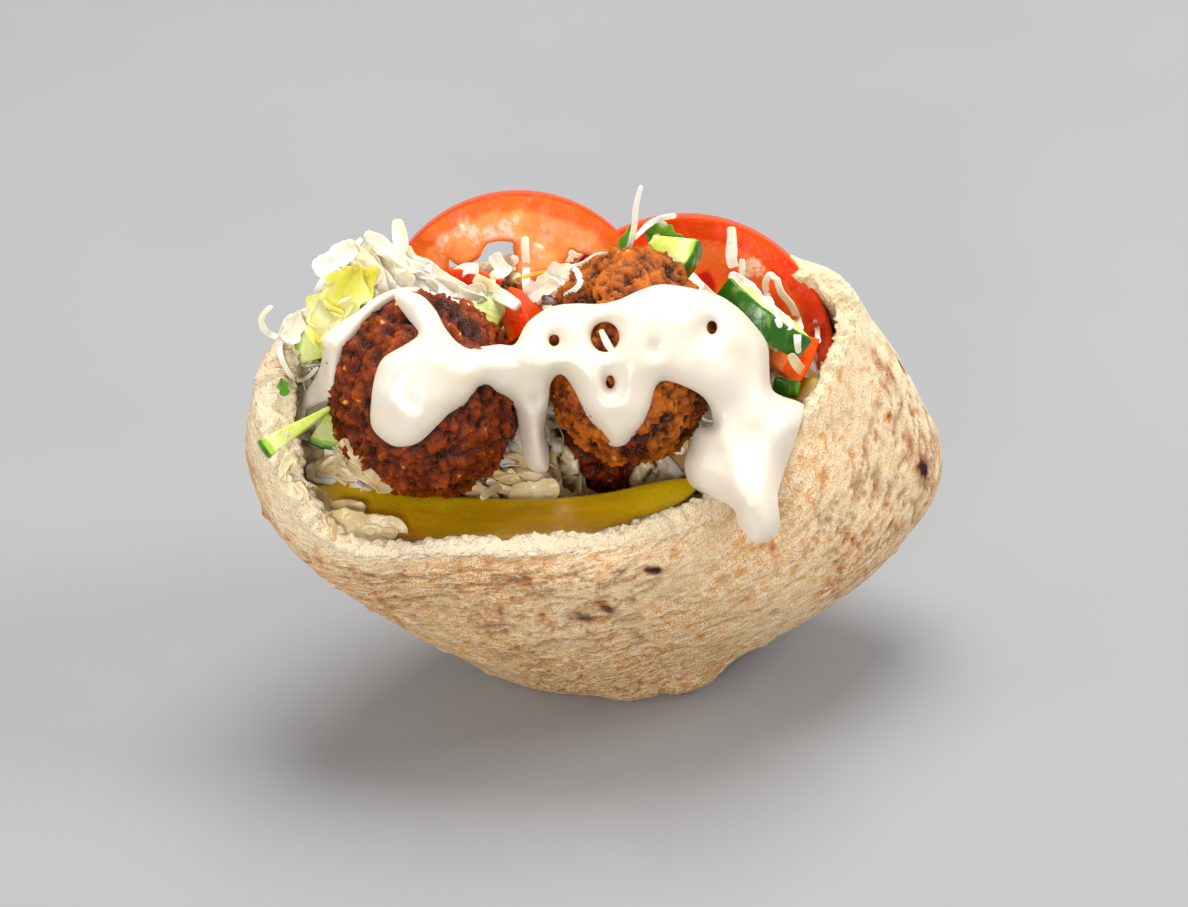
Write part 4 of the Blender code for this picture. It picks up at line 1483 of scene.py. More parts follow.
@dataclass
class PicklePlanks:
    """The pickle slices: planks with pointed ends that bend along their centre lines."""

    planks: tuple[Plank, ...] = (
        Plank(
            "pickle_front", ((-70, -18, 65.5), (-50, -25, 61), (-26, -27.5, 59), (0, -27, 60.5), (24, -20, 66)),
            15, 4.5,
        ),
        Plank("pickle_right", ((40, -10, 70), (47, -3, 74.5), (51, 4, 79)), 8, 3.5),
    )
    facing: Point = (0, -0.3, 0.95)
    finish: PickledCucumber = field(default_factory=PickledCucumber)
    rows: int = 150
    sides: int = 44

    def build(self) -> list[Thing]:
        """Returns the finished planks."""
        material = self.finish.build()
        return [dress(self._plank(plank), material, "pickle", plank.node) for plank in self.planks]

    def _plank(self, plank: Plank) -> Thing:
        """Rounded flat sections along the line, narrowing to both tips."""
        share = np.linspace(0.002, 0.998, self.rows)
        centre = smooth_through(plank.line, share)
        facing = unit(np.array(self.facing))
        across = unit(np.cross(facing, unit(np.gradient(centre, axis=0))))
        taper = np.maximum(0.05, np.sqrt(np.clip(1 - (2 * share - 1) ** 2, 0, 1)))
        angle = np.linspace(0, TAU, self.sides, endpoint=False)
        wide = raised_to(np.cos(angle), 0.75) * plank.width / 2
        tall = raised_to(np.sin(angle), 0.55) * plank.thickness / 2
        grid = centre[:, None] + taper[:, None, None] * (
            across[:, None] * wide[None, :, None] + facing[None, None] * tall[None, :, None]
        )
        grid = grid[:, ::-1] * MM
        outward = grid_normals(grid)
        grid = grid + outward * (fractal(grid, 9 * MM, 3, 401) * 0.35 * MM)[..., None]
        obj = mesh_object(plank.node + "_sliced", *closed_form(grid))
        reach = np.broadcast_to(np.cos(angle)[::-1], grid.shape[:2])
        reach = reach + 0.25 * fractal(grid, 8 * MM, 2, 411)
        paint(obj, "far_edge", np.append(smooth_step(0.0, 1.0, -reach).ravel(), (0.5, 0.5)))
        # painted light: paler along the near edge and towards the plank's end
        lit = np.maximum(smooth_step(0.2, 1.0, reach), 0.7 * smooth_step(0.72, 0.95, share)[:, None])
        paint(obj, "near_edge", np.append(lit.ravel(), (0.5, 0.5)))
        return obj


# ---------------------------------------------------------------- ribbons, leaves and flakes
@dataclass(frozen=True)
class Strand:
    """One listed shred, in mm.

    Each place is (across, up) on the table plane with a third number: its y, or for a laid
    shred how far it stands off what is under it.
    """

    places: tuple[Point, ...]
    width: float
    thickness: float = 0.55
    tilt: float = 0.0
    twist: float = 0.6
    laid: bool = False


def laid(width: float, thickness: float, twist: float, *places: Point) -> Strand:
    """A strand that lies on what is under it."""
    return Strand(places, width, thickness, twist=twist, laid=True)


STRAND_ROWS = 14  # to each of its places
STRAND_SIDES = 12


def strand_mesh(table: Table, strand: Strand, under: BVHTree, seed: int) -> Form:
    """A bent, slightly twisted ribbon with rounded edges along a strand's places."""
    rows, sides = STRAND_ROWS * len(strand.places), STRAND_SIDES
    share = np.linspace(0, 1, rows)
    given = np.array(strand.places, float)
    spots = table.onto(under, given) if strand.laid else table.at(given[:, 0], given[:, 1], given[:, 2])
    centre = smooth_through(spots, share)
    centre = centre + np.stack([fractal(centre, 9 * MM, 2, seed + i) for i in range(3)], axis=-1) * 0.5 * MM
    ahead = unit(np.gradient(centre, axis=0))
    across = unit(np.cross(ahead, unit(table.eye() - centre)))
    out = np.cross(across, ahead)
    turn = strand.tilt + strand.twist * np.sin(share * 5 + seed)
    wide = across * np.cos(turn)[:, None] + out * np.sin(turn)[:, None]
    tall = out * np.cos(turn)[:, None] - across * np.sin(turn)[:, None]
    tip = 0.6 + 0.4 * smooth_step(0, 0.025, np.minimum(share, 1 - share))
    size = tip * (0.8 + 0.2 * np.sin(math.pi * share)) * (1 + 0.25 * fractal(centre, 5 * MM, 3, seed + 9))
    angle = np.linspace(0, TAU, sides, endpoint=False)
    c = raised_to(np.cos(angle), 0.6) * strand.width * MM / 2
    s = raised_to(np.sin(angle), 0.6) * strand.thickness * MM / 2
    flat = size[:, None, None] * wide[:, None] * c[None, :, None]
    grid = centre[:, None] + flat + tall[:, None] * s[None, :, None]
    cup = 0.6 * c**2 / (strand.width * MM) * (1 + fractal(centre, 7 * MM, 2, seed + 19))[:, None]
    grid = grid + (size[:, None] * cup)[..., None] * tall[:, None]
    return closed_form(grid)


def joined(name: str, meshes: Sequence[Form]) -> Thing:
    """One object out of several closed meshes, their faces turned outwards."""
    bm = bmesh.new()
    for points, faces in meshes:
        verts = [bm.verts.new(p) for p in points]
        for face in faces:
            bm.faces.new([verts[i] for i in face])
    bmesh.ops.recalc_face_normals(bm, faces=bm.faces)
    mesh = bpy.data.meshes.new(name)
    bm.to_mesh(mesh)
    bm.free()
    mesh.shade_smooth()
    return placed(name, mesh)


@dataclass
class LaidStrands:
    """All the listed shreds of one kind, joined into one piece."""

    name: str
    finish: ShredFinish
    slot: str
    strands: tuple[Strand, ...]
    table: Table = field(default_factory=Table)

    def build(self, underneath: Sequence[Thing]) -> Thing:
        """Returns the finished piece, its laid shreds lying on what is underneath."""
        under = tree_of(underneath)
        meshes = [strand_mesh(self.table, strand, under, 500 + 13 * i) for i, strand in enumerate(self.strands)]
        return dress(joined(self.name, meshes), self.finish.build(), self.slot)


@dataclass(frozen=True)
class Leaf:
    """A torn piece of leaf: its place as a strand's places are given, its length, width, turn
    and curl, how many lobes its edge has (none on a strip cut with a knife), how ruffled it is."""

    place: Point
    length: float
    width: float
    turn: float
    curl: float = 0.5
    lobes: int = 3
    ruffle: float = 0.4
    laid: bool = False


def leaf_mesh(
    table: Table, leaf: Leaf, under: BVHTree, seed: int, fineness: int
) -> Form:
    """A thin closed blade with a lobed, ragged outline, ribs and a curl, facing the eye."""
    rows = fineness
    u, v = np.meshgrid(np.linspace(-1, 1, rows), np.linspace(0, 1, rows * 2), indexing="ij")
    along = np.stack([u * 0 + seed, v * 5, v * 0], axis=-1)
    blunt = np.sqrt(np.clip(1 - np.abs(2 * v - 1) ** 7, 0, 1)) * (1 + 0.3 * fractal(along, 1.0, 3, seed))
    half = np.sin(math.pi * v**0.8) ** 0.7 * (1 + 0.22 * np.sin(v * leaf.lobes * TAU)) if leaf.lobes else blunt
    half = np.maximum(half, 0.05)
    x = u * half * leaf.width / 2
    y = (v - 0.5) * leaf.length
    spot = np.stack([x, y, x * 0 + seed], axis=-1)
    z = leaf.curl * (u**2 * leaf.width * 0.35 + (v - 0.5) ** 2 * leaf.length * 0.3)
    waves = 1.4 * u**2 * np.sin(v * leaf.length * 0.75 + u * 2 + seed)
    z = z + leaf.ruffle * (waves + 2.0 * fractal(spot, 6.0, 2, seed))
    rib = -0.18 * np.exp(-((u / 0.12) ** 2))
    place = np.array([leaf.place], float)
    middle = table.onto(under, place)[0] if leaf.laid else table.at(*place[0])
    toward = Vector(table.eye() - middle).normalized()
    base = toward.to_track_quat("Z", "Y").to_matrix() @ Matrix.Rotation(math.radians(leaf.turn), 3, "Z")
    points = []
    for side in (1, -1):
        local = np.stack([x, y, z + rib + side * 0.16], axis=-1)
        points.append((local.reshape(-1, 3) * MM) @ np.array(base).T + middle)
    columns = rows * 2
    faces = []
    for i in range(rows - 1):
        for j in range(columns - 1):
            a = i * columns + j
            faces.append((a, a + columns, a + columns + 1, a + 1))
            b = a + rows * columns
            faces.append((b, b + 1, b + columns + 1, b + columns))
    rim = [i * columns for i in range(rows)] + [(rows - 1) * columns + j for j in range(1, columns)]
    rim += [i * columns + columns - 1 for i in range(rows - 2, -1, -1)] + list(range(columns - 2, 0, -1))
    shift = rows * columns
    for a, b in zip(rim, rim[1:] + rim[:1]):
        faces.append((a, a + shift, b + shift, b))
    return np.vstack(points), faces


@dataclass
class LaidLeaves:
    """Leaf pieces of one kind, joined into one piece."""

    name: str
    finish: ShredFinish
    slot: str
    leaves: tuple[Leaf, ...]
    nodes: tuple[str, ...] = ()
    fineness: int = 14
    table: Table = field(default_factory=Table)

    def build(self, underneath: Sequence[Thing]) -> Thing:
        """Returns the finished piece, its laid leaves lying on what is underneath."""
        under = tree_of(underneath)
        seeds = range(700, 700 + 17 * len(self.leaves), 17)
        meshes = [
            leaf_mesh(self.table, leaf, under, seed, self.fineness) for leaf, seed in zip(self.leaves, seeds)
        ]
        return dress(joined(self.name, meshes), self.finish.build(), self.slot, *self.nodes)


# ---------------------------------------------------------------- the salad heap
@dataclass(frozen=True)
class ShredKind:
    """One kind of scattered shred: its name and finish, how many and how large, in mm.

    zone names the core's attribute that says where it lies, 0 to 1.
    """

    name: str
    finish: ShredFinish
    zone: str
    per_square_cm: float
    length: float
    width: float
    thickness: float
    lift: float
    seed: int


@dataclass
class SaladHeap:
    """The shredded salad that fills the pocket: a packed core, and loose shreds all over it.

    The core is drawn in from the model's heap by about the depth of the loose shreds.
    """

    kinds: tuple[ShredKind, ...] = (
        ShredKind("cabbage_shreds", CABBAGE, "fresh", 7.0, 20.0, 3.6, 0.6, 2.4, 5),
        ShredKind("brined_shreds", PICKLED_CABBAGE, "brined", 3.0, 24.0, 4.0, 0.45, 1.8, 6),
    )
    voxel: float = 0.9 * MM
    drawn_in: float = 2.4 * MM
    relief_depth: float = 0.8 * MM
    fresh_from: float = 63 * MM

    def build(self) -> list[Thing]:
        """Returns the core, which stands for the model's salad_heap, and the shreds."""
        core = self._core()
        shreds = [self._scatter(core, kind) for kind in self.kinds]
        return [dress(core, PackedSalad().build(), "salad", "salad_heap"), *shreds]

    def _core(self) -> Thing:
        """The heap's own form, evenly remeshed, drawn in, and creased like packed shreds."""
        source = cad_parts["salad_heap"]
        twin = placed("heap_twin", source.data.copy())
        remesh = twin.modifiers.new("even", "REMESH")
        remesh.mode = "VOXEL"
        remesh.voxel_size = self.voxel
        core = placed("salad_heap_core", plain_mesh(twin))
        core.data.shade_smooth()
        points, outward = positions(core), normals(core)
        sway = np.stack([fractal(points, 12 * MM, 2, 801 + i) for i in range(3)], axis=-1) * 5 * MM
        strands = np.abs(soft_noise((points + sway) * np.array([1, 3.2, 3.2]), 8 * MM, 811))
        crossing = np.abs(soft_noise((points - sway) * np.array([3.2, 1, 3.2]), 8 * MM, 821))
        height = np.maximum(1 - 2.2 * strands, 1 - 2.2 * crossing) + 0.5 * fractal(points, 6 * MM, 2, 831)
        upward = smooth_step(-0.2, 0.5, outward[:, 2])
        lump = fractal(points, 9 * MM, 2, 841) * 4 * MM
        level = points[:, 2] + 0.6 * points[:, 1] + lump
        fresh = smooth_step(self.fresh_from - 3 * MM, self.fresh_from + 3 * MM, level)
        move = (-self.drawn_in + self.relief_depth * height * (0.4 + 0.6 * fresh)) * (0.35 + 0.65 * upward)
        move_points(core, points + outward * move[:, None])
        # the lower zone, deep in the pocket, takes the darker brined tones, partly painted shade
        paint(core, "zone", fresh)
        facing_up = smooth_step(-0.4, 0.1, outward[:, 2])
        paint(core, "fresh", fresh * facing_up)
        paint(core, "brined", (1 - fresh) * facing_up * smooth_step(20 * MM, 10 * MM, points[:, 1]))
        return core

    def _scatter(self, core: Thing, kind: ShredKind) -> Thing:
        """Loose shreds of one kind over the core, as one plain mesh."""
        carrier = placed(kind.name + "_carrier", core.data.copy())
        material = kind.finish.build()
        modifier = carrier.modifiers.new("shreds", "NODES")
        modifier.node_group = shred_tree(material, kind.zone)
        sizes = {
            "Density": kind.per_square_cm * 1e4, "Length": kind.length * MM, "Width": kind.width * MM,
            "Thickness": kind.thickness * MM, "Lift": kind.lift * MM, "Seed": kind.seed,
        }
        for item in modifier.node_group.interface.items_tree:
            if item.name in sizes:
                modifier[item.identifier] = sizes[item.name]
        return dress(placed(kind.name, plain_mesh(carrier)), material, "salad")


def plain_mesh(source: Thing) -> bpy.types.Mesh:
    """The mesh that an object's modifiers make; the object goes."""
    mesh = bpy.data.meshes.new_from_object(source.evaluated_get(bpy.context.evaluated_depsgraph_get()))
    bpy.data.objects.remove(source)
    return mesh


def shred_tree(material: Material, zone: str) -> Tree:
    """A Geometry Nodes tree that strews flat, bent shreds over a core and settles them on it.

    Args:
        material: the shreds' material.
        zone: the name of the core's attribute that says how thickly they lie.

    Returns:
        The tree. Its inputs are Density (in each square metre), Length, Width, Thickness, Lift
        (in metres) and Seed.
    """
    tree = bpy.data.node_groups.new("strewn_shreds_" + zone, "GeometryNodeTree")
    sides = tree.interface
    sides.new_socket("Geometry", in_out="INPUT", socket_type="NodeSocketGeometry")
    for name in ("Density", "Length", "Width", "Thickness", "Lift"):
        sides.new_socket(name, in_out="INPUT", socket_type="NodeSocketFloat")
    sides.new_socket("Seed", in_out="INPUT", socket_type="NodeSocketInt")
    sides.new_socket("Geometry", in_out="OUTPUT", socket_type="NodeSocketGeometry")
    given = add(tree, "NodeGroupInput").node.outputs
    core = given["Geometry"]
    where = add(tree, "GeometryNodeInputNamedAttribute", {"Name": zone}, data_type="FLOAT")
    thickly = add(tree, TIMES, where, given["Density"])
    spots = add(
        tree, "GeometryNodeDistributePointsOnFaces", {"Mesh": core, "Density": thickly, "Seed": given["Seed"]}
    ).node.outputs
    spin = add(
        tree, "FunctionNodeRandomValue", {0: (0, 0, 0), 1: (0, 0, TAU), "Seed": given["Seed"]},
        data_type="FLOAT_VECTOR",
    )
    turned = add(tree, "FunctionNodeRotateRotation", {0: spots["Rotation"], 1: spin}, rotation_space="LOCAL")
    long = add(tree, RANDOM, 0.45, 1.25, 3)
    stretch = add(tree, TIMES, long, given["Length"])
    line = add(tree, "GeometryNodeCurvePrimitiveLine", {"Start": (-0.5, 0, 0), "End": (0.5, 0, 0)})
    dotted = add(tree, "GeometryNodeResampleCurve", {"Curve": line, "Count": 12})
    own = add(tree, RANDOM, 0.0, 60.0, 9)
    marked = add(
        tree, "GeometryNodeStoreNamedAttribute",
        {"Geometry": spots["Points"], "Name": "shred", "Value": own}, data_type="FLOAT", domain="POINT",
    )
    strewn = add(
        tree, "GeometryNodeInstanceOnPoints",
        {"Points": marked, "Instance": dotted, "Rotation": turned, "Scale": stretch},
    )
    real = add(tree, "GeometryNodeRealizeInstances", {"Geometry": strewn})
    mark = add(tree, "GeometryNodeInputNamedAttribute", {"Name": "shred"}, data_type="FLOAT")
    place = add(tree, "GeometryNodeInputPosition")
    bend = add(tree, DRIFT, place, mark, 38.0, 1.0, output="Color")
    centred = add(tree, "ShaderNodeVectorMath", {0: bend, 1: (0.5, 0.5, 0.5)}, operation="SUBTRACT")
    swing = add(tree, LENGTHENED, centred, 0.034)
    bent = add(tree, "GeometryNodeSetPosition", {"Geometry": real, "Offset": swing})
    near = add(
        tree, "GeometryNodeProximity", {"Target": core, "Source Position": place}, target_element="FACES"
    )
    slope = add(tree, "GeometryNodeInputNormal")
    facing = add(
        tree, "GeometryNodeSampleNearestSurface", {"Mesh": core, "Value": slope, "Sample Position": place},
        data_type="FLOAT_VECTOR",
    )
    layer = add(tree, DRIFT, place, mark, 55.0, 1.0)
    raised = add(tree, SPREAD, layer, 0.3, 0.7, -0.25, 1.15)
    lift = add(tree, TIMES, raised, given["Lift"])
    away = add(tree, LENGTHENED, facing, lift)
    settled_at = add(tree, "ShaderNodeVectorMath", {0: near, 1: away}, operation="ADD")
    settled = add(tree, "GeometryNodeSetPosition", {"Geometry": bent, "Position": settled_at})
    smooth = add(tree, "GeometryNodeSetCurveNormal", {"Curve": settled})
    lean = add(tree, SPREAD, bend, 0.3, 0.7, -0.7, 0.7)
    leaning = add(tree, "GeometryNodeSetCurveTilt", {"Curve": smooth, "Tilt": lean})
    along = add(tree, "GeometryNodeSplineParameter")
    hump = add(tree, SPREAD, along, 0.0, 0.18, 0.45, 1.0)
    size = add(tree, RANDOM, 0.55, 1.25, 21)
    girth = add(tree, TIMES, hump, size)
    sized = add(tree, "GeometryNodeSetCurveRadius", {"Curve": leaning, "Radius": girth})
    ring = add(tree, "GeometryNodeCurvePrimitiveCircle", {"Resolution": 6, "Radius": 0.5}, mode="RADIUS")
    flat = add(tree, "ShaderNodeCombineXYZ", {0: given["Width"], 1: given["Thickness"], 2: 1.0})
    profile = add(tree, "GeometryNodeTransform", {"Geometry": ring, "Scale": flat})
    solid = add(tree, "GeometryNodeCurveToMesh", {"Curve": sized, "Profile Curve": profile, "Fill Caps": True})
    smoothed = add(tree, "GeometryNodeSetShadeSmooth", {"Geometry": solid})
    whole = add(tree, "GeometryNodeRealizeInstances", {"Geometry": smoothed})
    coloured = add(tree, "GeometryNodeSetMaterial", {"Geometry": whole, "Material": material})
    add(tree, "NodeGroupOutput", {0: coloured})
    return tree


# ---------------------------------------------------------------- the studio
@dataclass(frozen=True)
class StudioFloor(Finish):
    """Matt pale-grey painted board, seamless and evenly rolled."""

    name: str = "matt_painted_board"
    paint: str = "#9D9D9D"
    second_coat: str = "#9B9B9B"

    def surface(self, tree: Tree, place: Socket) -> Inputs:
        """A faint roller mottle."""
        mottle = add(tree, NOISE, place, grains(60.0), 2.0)
        return {
            "Base Color": add(tree, MIX, add(tree, RANGE, mottle, 0.3, 0.7), self.paint, self.second_coat),
            "Roughness": 0.7,
            "Specular IOR Level": 0.2,
        }


@dataclass(frozen=True)
class Lamp:
    """A soft area light: where it is and how large, in metres, and its power in watts."""

    name: str
    place: Point
    size: float
    power: float


@dataclass
class Studio:
    """The floor, the soft lights and the camera."""

    table: Table
    finish: StudioFloor = field(default_factory=StudioFloor)
    lens: float = 100.0
    lamps: tuple[Lamp, ...] = (
        Lamp("overhead", (0.05, 0.34, 1.1), 0.75, 13.4),
        Lamp("front_box", (-0.28, -1.0, 0.42), 0.4, 5.6),
        Lamp("right_box", (0.88, 0.04, 0.74), 0.4, 5.2),
        Lamp("left_box", (-0.9, -0.2, 0.6), 0.4, 1.8),
    )
    ambient: float = 0.43
    sky: str = "#F4F6FA"

    def build(self) -> None:
        """Makes the floor, the lights and the camera."""
        self._floor()
        for lamp in self.lamps:
            self._lamp(lamp)
        self._world()
        self._camera()

    def _floor(self) -> None:
        """A wide flat floor."""
        corners = np.array([(-4, -4, 0), (4, -4, 0), (4, 4, 0), (-4, 4, 0)], float)
        floor = mesh_object("floor", corners, [(0, 1, 2, 3)])
        floor.data.materials.append(self.finish.build())

    def _lamp(self, lamp: Lamp) -> None:
        """One area light turned towards the food."""
        light = bpy.data.lights.new(lamp.name, "AREA")
        light.shape = "DISK"
        light.size = lamp.size
        light.energy = lamp.power
        self._aim(placed(lamp.name, light), lamp.place)

    def _aim(self, obj: Thing, place: Point) -> None:
        """Puts a light or the camera at its place, turned towards the food."""
        obj.location = place
        ahead = Vector(self.table.middle) * MM - Vector(place)
        obj.rotation_euler = ahead.to_track_quat("-Z", "Y").to_euler()

    def _world(self) -> None:
        """An even pale surround."""
        world = bpy.data.worlds.new("pale_surround")
        world.use_nodes = True
        world.node_tree.nodes["Background"].inputs["Color"].default_value = linear(self.sky)
        world.node_tree.nodes["Background"].inputs["Strength"].default_value = self.ambient
        bpy.context.scene.world = world

    def _camera(self) -> None:
        """The camera, where the table plane's eye is."""
        data = bpy.data.cameras.new("camera")
        data.lens = self.lens
        data.clip_start = 0.05
        camera = placed("camera", data)
        self._aim(camera, self.table.eye())
        bpy.context.scene.camera = camera
        bpy.context.scene.view_settings.view_transform = "Standard"


SCORCHES = (
    Patch(338.8, 0.743, 4.5, 3.2),
    Patch(275.3, 0.862, 2.5, 2.6),
    Patch(258.8, 0.68, 2.2, 3.4, 0.8),
    Patch(263.5, 0.72, 1.5, 3.8, 0.85),
    Patch(225.0, 0.869, 3.2, 2.4, 0.8),
)
TOASTS = (
    Patch(346.0, 0.923, 5.5, 7.0, 0.9),
    Patch(338.8, 0.811, 4.0, 4.0, 0.8),
    Patch(338.8, 0.743, 8.0, 7.0, 0.7),
    Patch(256.5, 0.946, 8.0, 4.0, 0.6),
    Patch(228.0, 0.86, 8.0, 3.0, 0.6),
    Patch(275.3, 0.862, 4.5, 4.5, 0.7),
    Patch(258.8, 0.68, 4.5, 6.0, 0.8),
    Patch(263.5, 0.72, 3.2, 6.5, 0.8),
)
HOLLOWS = (
    Patch(151.0, 0.86, 7.0, 7.0),
    Patch(171.8, 0.874, 4.0, 5.0, 0.7),
    Patch(157.0, 0.70, 6.0, 5.0),
    Patch(14.0, 0.94, 5.0, 5.0),
    Patch(30.0, 0.88, 6.0, 5.0, 0.8),
)
SWELLINGS = (Patch(294, 0.24, 14.5, 14.0, 3.0), Patch(275, 0.2, 20.0, 12.0, 2.0))
MAIN_POOL = Pool(
    "sauce_main_poured",
    ("sauce_main",),
    (
        (-45.5, 38), (-46.5, 36), (-43.5, 31.5), (-41, 28), (-44, 25.5), (-49, 22.5), (-51, 18.5),
        (-52, 12.5), (-52, 6.5), (-49, 3), (-45.5, 1.5), (-41, 2.5), (-37, 6), (-33.5, 9.5), (-29, 11.5),
        (-28, 13.5), (-27, 15.5), (-24.5, 16), (-22, 13.5), (-19, 11.5), (-17.5, 5.5), (-16.5, -0.5),
        (-15, -3.5), (-12.5, -4.5), (-10.5, -3.5), (-10.5, 1), (-11.5, 5.5), (-10.5, 12.5), (-10, 16.5),
        (-8, 18.5), (-6, 17), (-3.5, 12.5), (-1.5, 6.5), (1.5, 3), (4.5, 1.5), (8.5, 2.5), (12, 5),
        (13.5, 9), (14, 14.5), (16.5, 17), (22.5, 15), (26, 12.5), (27.5, 9), (27.5, 6.5), (24, 6),
        (22.5, 2), (21, -2.5), (22.5, -7.5), (27, -10), (32.5, -13), (33.5, -16.5), (36.5, -20),
        (38.5, -21), (42, -19.5), (43.5, -16.5), (43, -11), (44.5, -4), (47, 3), (49, 10), (48, 12),
        (42, 14.5), (41, 19.5), (40.5, 25.5), (37.5, 30), (33, 34.5), (27.5, 37.5), (16.5, 39.5),
        (10.5, 38), (6, 36), (1.5, 35), (-4.5, 35), (-9, 34.5), (-12.5, 33), (-16, 30), (-18.5, 25.5),
        (-22, 25.5), (-27, 25), (-31.5, 26), (-34.5, 29), (-37, 33.5), (-40.5, 37),
    ),
    4.6, 4.6,
    holes=((2.6, 27.2, 3.3, 3.5), (-9.3, 26.4, 1.2, 1.4), (27.5, 29.4, 1.2, 1.6), (3.8, 16.7, 1.0, 1.6)),
    dimples=((14.2, 24.2, 2.2), (-13.7, 12, 1.8)),
    ridges=(
        Ridge(((24.7, 12.5), (29.4, 5.5), (33, -3), (36, -12)), 0.9, 2.0),
        Ridge(((33.5, 32), (38.5, 25), (40, 16), (38, 8)), 1.0, 2.0),
        Ridge(((-17, 24), (-13, 20), (-8, 21.5), (-2, 19), (4, 12)), 0.8, 2.0),
        Ridge(((-50, 14), (-46, 20), (-39, 22), (-30, 19)), 0.8, 2.4),
    ),
)
LEFT_POOL = Pool(
    "sauce_left_poured",
    ("sauce_left",),
    (
        (-68, 10), (-68, 13), (-64.5, 19), (-63.5, 23), (-64, 26.5), (-60, 30), (-55.5, 33), (-50, 37),
        (-43, 39), (-34, 36.5), (-28.5, 34.5), (-27, 29), (-31.5, 26), (-36, 29), (-39.5, 36), (-45.5, 36),
        (-52.5, 31), (-58, 24), (-60, 18.5), (-60.5, 13.5), (-64, 11.5),
    ),
    2.6, 3.0,
)

LETTUCE_LEAVES = (
    Leaf((-59.5, 34.5, -8), 21, 12, -28, 0.4, 3, 0.5),
    Leaf((-56.5, 38.5, -5), 15, 9, -55, 0.4, 2, 0.5),
    Leaf((-62.5, 31, -10), 10, 8, 10, 0.4, 2, 0.5),
)
PARSLEY_LEAVES = (
    Leaf((7.5, 50, 10), 7, 2.6, -20, 0.6, 1),
    Leaf((16, 50.5, 12), 10, 5.5, 70, 0.6, 3),
    Leaf((-72.5, 15.5, -17.5), 4.2, 2.6, 10, 0.6, 2),
    Leaf((31, 38.5, 6), 3, 1.5, 40, 0.6, 2),
)

CABBAGE_LEAVES = (
    Leaf((-70, 29.5, -10), 8, 5, -20, 0.5, 2, 0.2),
    Leaf((-60.5, 45.5, -1), 11, 5, -60, 0.4, 0, 0.25),
    Leaf((-54.5, 44.5, 0), 12, 5.5, 40, 0.4, 0, 0.25),
    Leaf((-48.5, 43.5, 4), 15, 6, 50, 0.4, 0, 0.25),
    Leaf((-51, 40, 0), 14, 5.5, 15, 0.4, 0, 0.25),
    Leaf((-43.5, 40.5, 5), 15, 5.5, 60, 0.4, 0, 0.25),
    Leaf((-47, 37.5, 1), 13, 5.0, 80, 0.4, 0, 0.25),
    Leaf((-38, 39, 6), 13, 5, 75, 0.4, 0, 0.25),
    Leaf((-31, 37, 6), 12, 4.5, 95, 0.4, 0, 0.25),
    Leaf((-54.5, 34.5, -6), 10, 4.5, -35, 0.4, 0, 0.25),
    Leaf((-22, 44, 9), 6, 3.5, 30, 0.4, 0, 0.25),
    Leaf((-12, 39, 9), 9, 4.5, -60, 0.4, 0, 0.25),
    Leaf((-6, 41.5, 10), 10, 4.5, 70, 0.4, 0, 0.25),
)
BRINED_LEAVES = (
    Leaf((-53, -17.8, 0.8), 19, 7.5, 76, 0.25, 0, 0.2, True),
    Leaf((-57.5, -13, 0.8), 8, 4, 85, 0.3, 0, 0.3, True),
    Leaf((-65.5, -1.5, 0.8), 13, 5, 82, 0.4, 0, 0.4, True),
    Leaf((-59, -2.5, 0.8), 12, 5, 100, 0.4, 0, 0.4, True),
    Leaf((-52, -5, 0.8), 12, 5, 55, 0.4, 0, 0.4, True),
    Leaf((-21, -7, 0.8), 13, 5, 70, 0.4, 0, 0.4, True),
    Leaf((-14, -9, 0.8), 12, 5, 100, 0.4, 0, 0.4, True),
    Leaf((-27, -9, 0.6), 10, 4, 60, 0.4, 0, 0.4, True),
)

BIG_OPENING = (
    (21.2, 1.2), (21.8, 3.2), (21.7, 5.5), (21.3, 7.3), (19.7, 8.2), (17.5, 9.8), (16.2, 11.9), (16, 13.5),
    (17.2, 15.3), (17.6, 16.1), (15.1, 16.3), (13, 17), (8, 18.5), (2, 17.5), (-2, 12), (-2, 5),
    (3, 1.5), (7.3, 0.3), (12.1, 0.4), (17.8, 1),
)
HIDDEN_CORNER = ((-10, 22), (7, 22), (9.5, 26), (9.5, 37), (-10, 37))
RIGHT_OPENING = (
    (19.4, -12.1), (18.8, -13.3), (18.4, -14.8), (17.7, -16.2), (15.9, -16.8), (15.6, -18.2), (14.6, -20.5),
    (10, -24), (3, -20), (-1, -12), (1, -5), (7.1, -2.2), (9.9, -2.6), (12.1, -3.6), (13.5, -6.5),
    (14.6, -8.2), (16, -10), (17.8, -11.4),
)
UPPER_JELLY = ((20.8, 9.8), (20.8, 7.5), (19.1, 4.9), (16.5, 5.2), (14, 8), (17.5, 11))
LOWER_JELLY = ((24, -12), (22, -18), (17, -21.5), (10, -20), (8, -12), (13, -7), (20, -7))
TOMATO, CUCUMBER = Vegetable
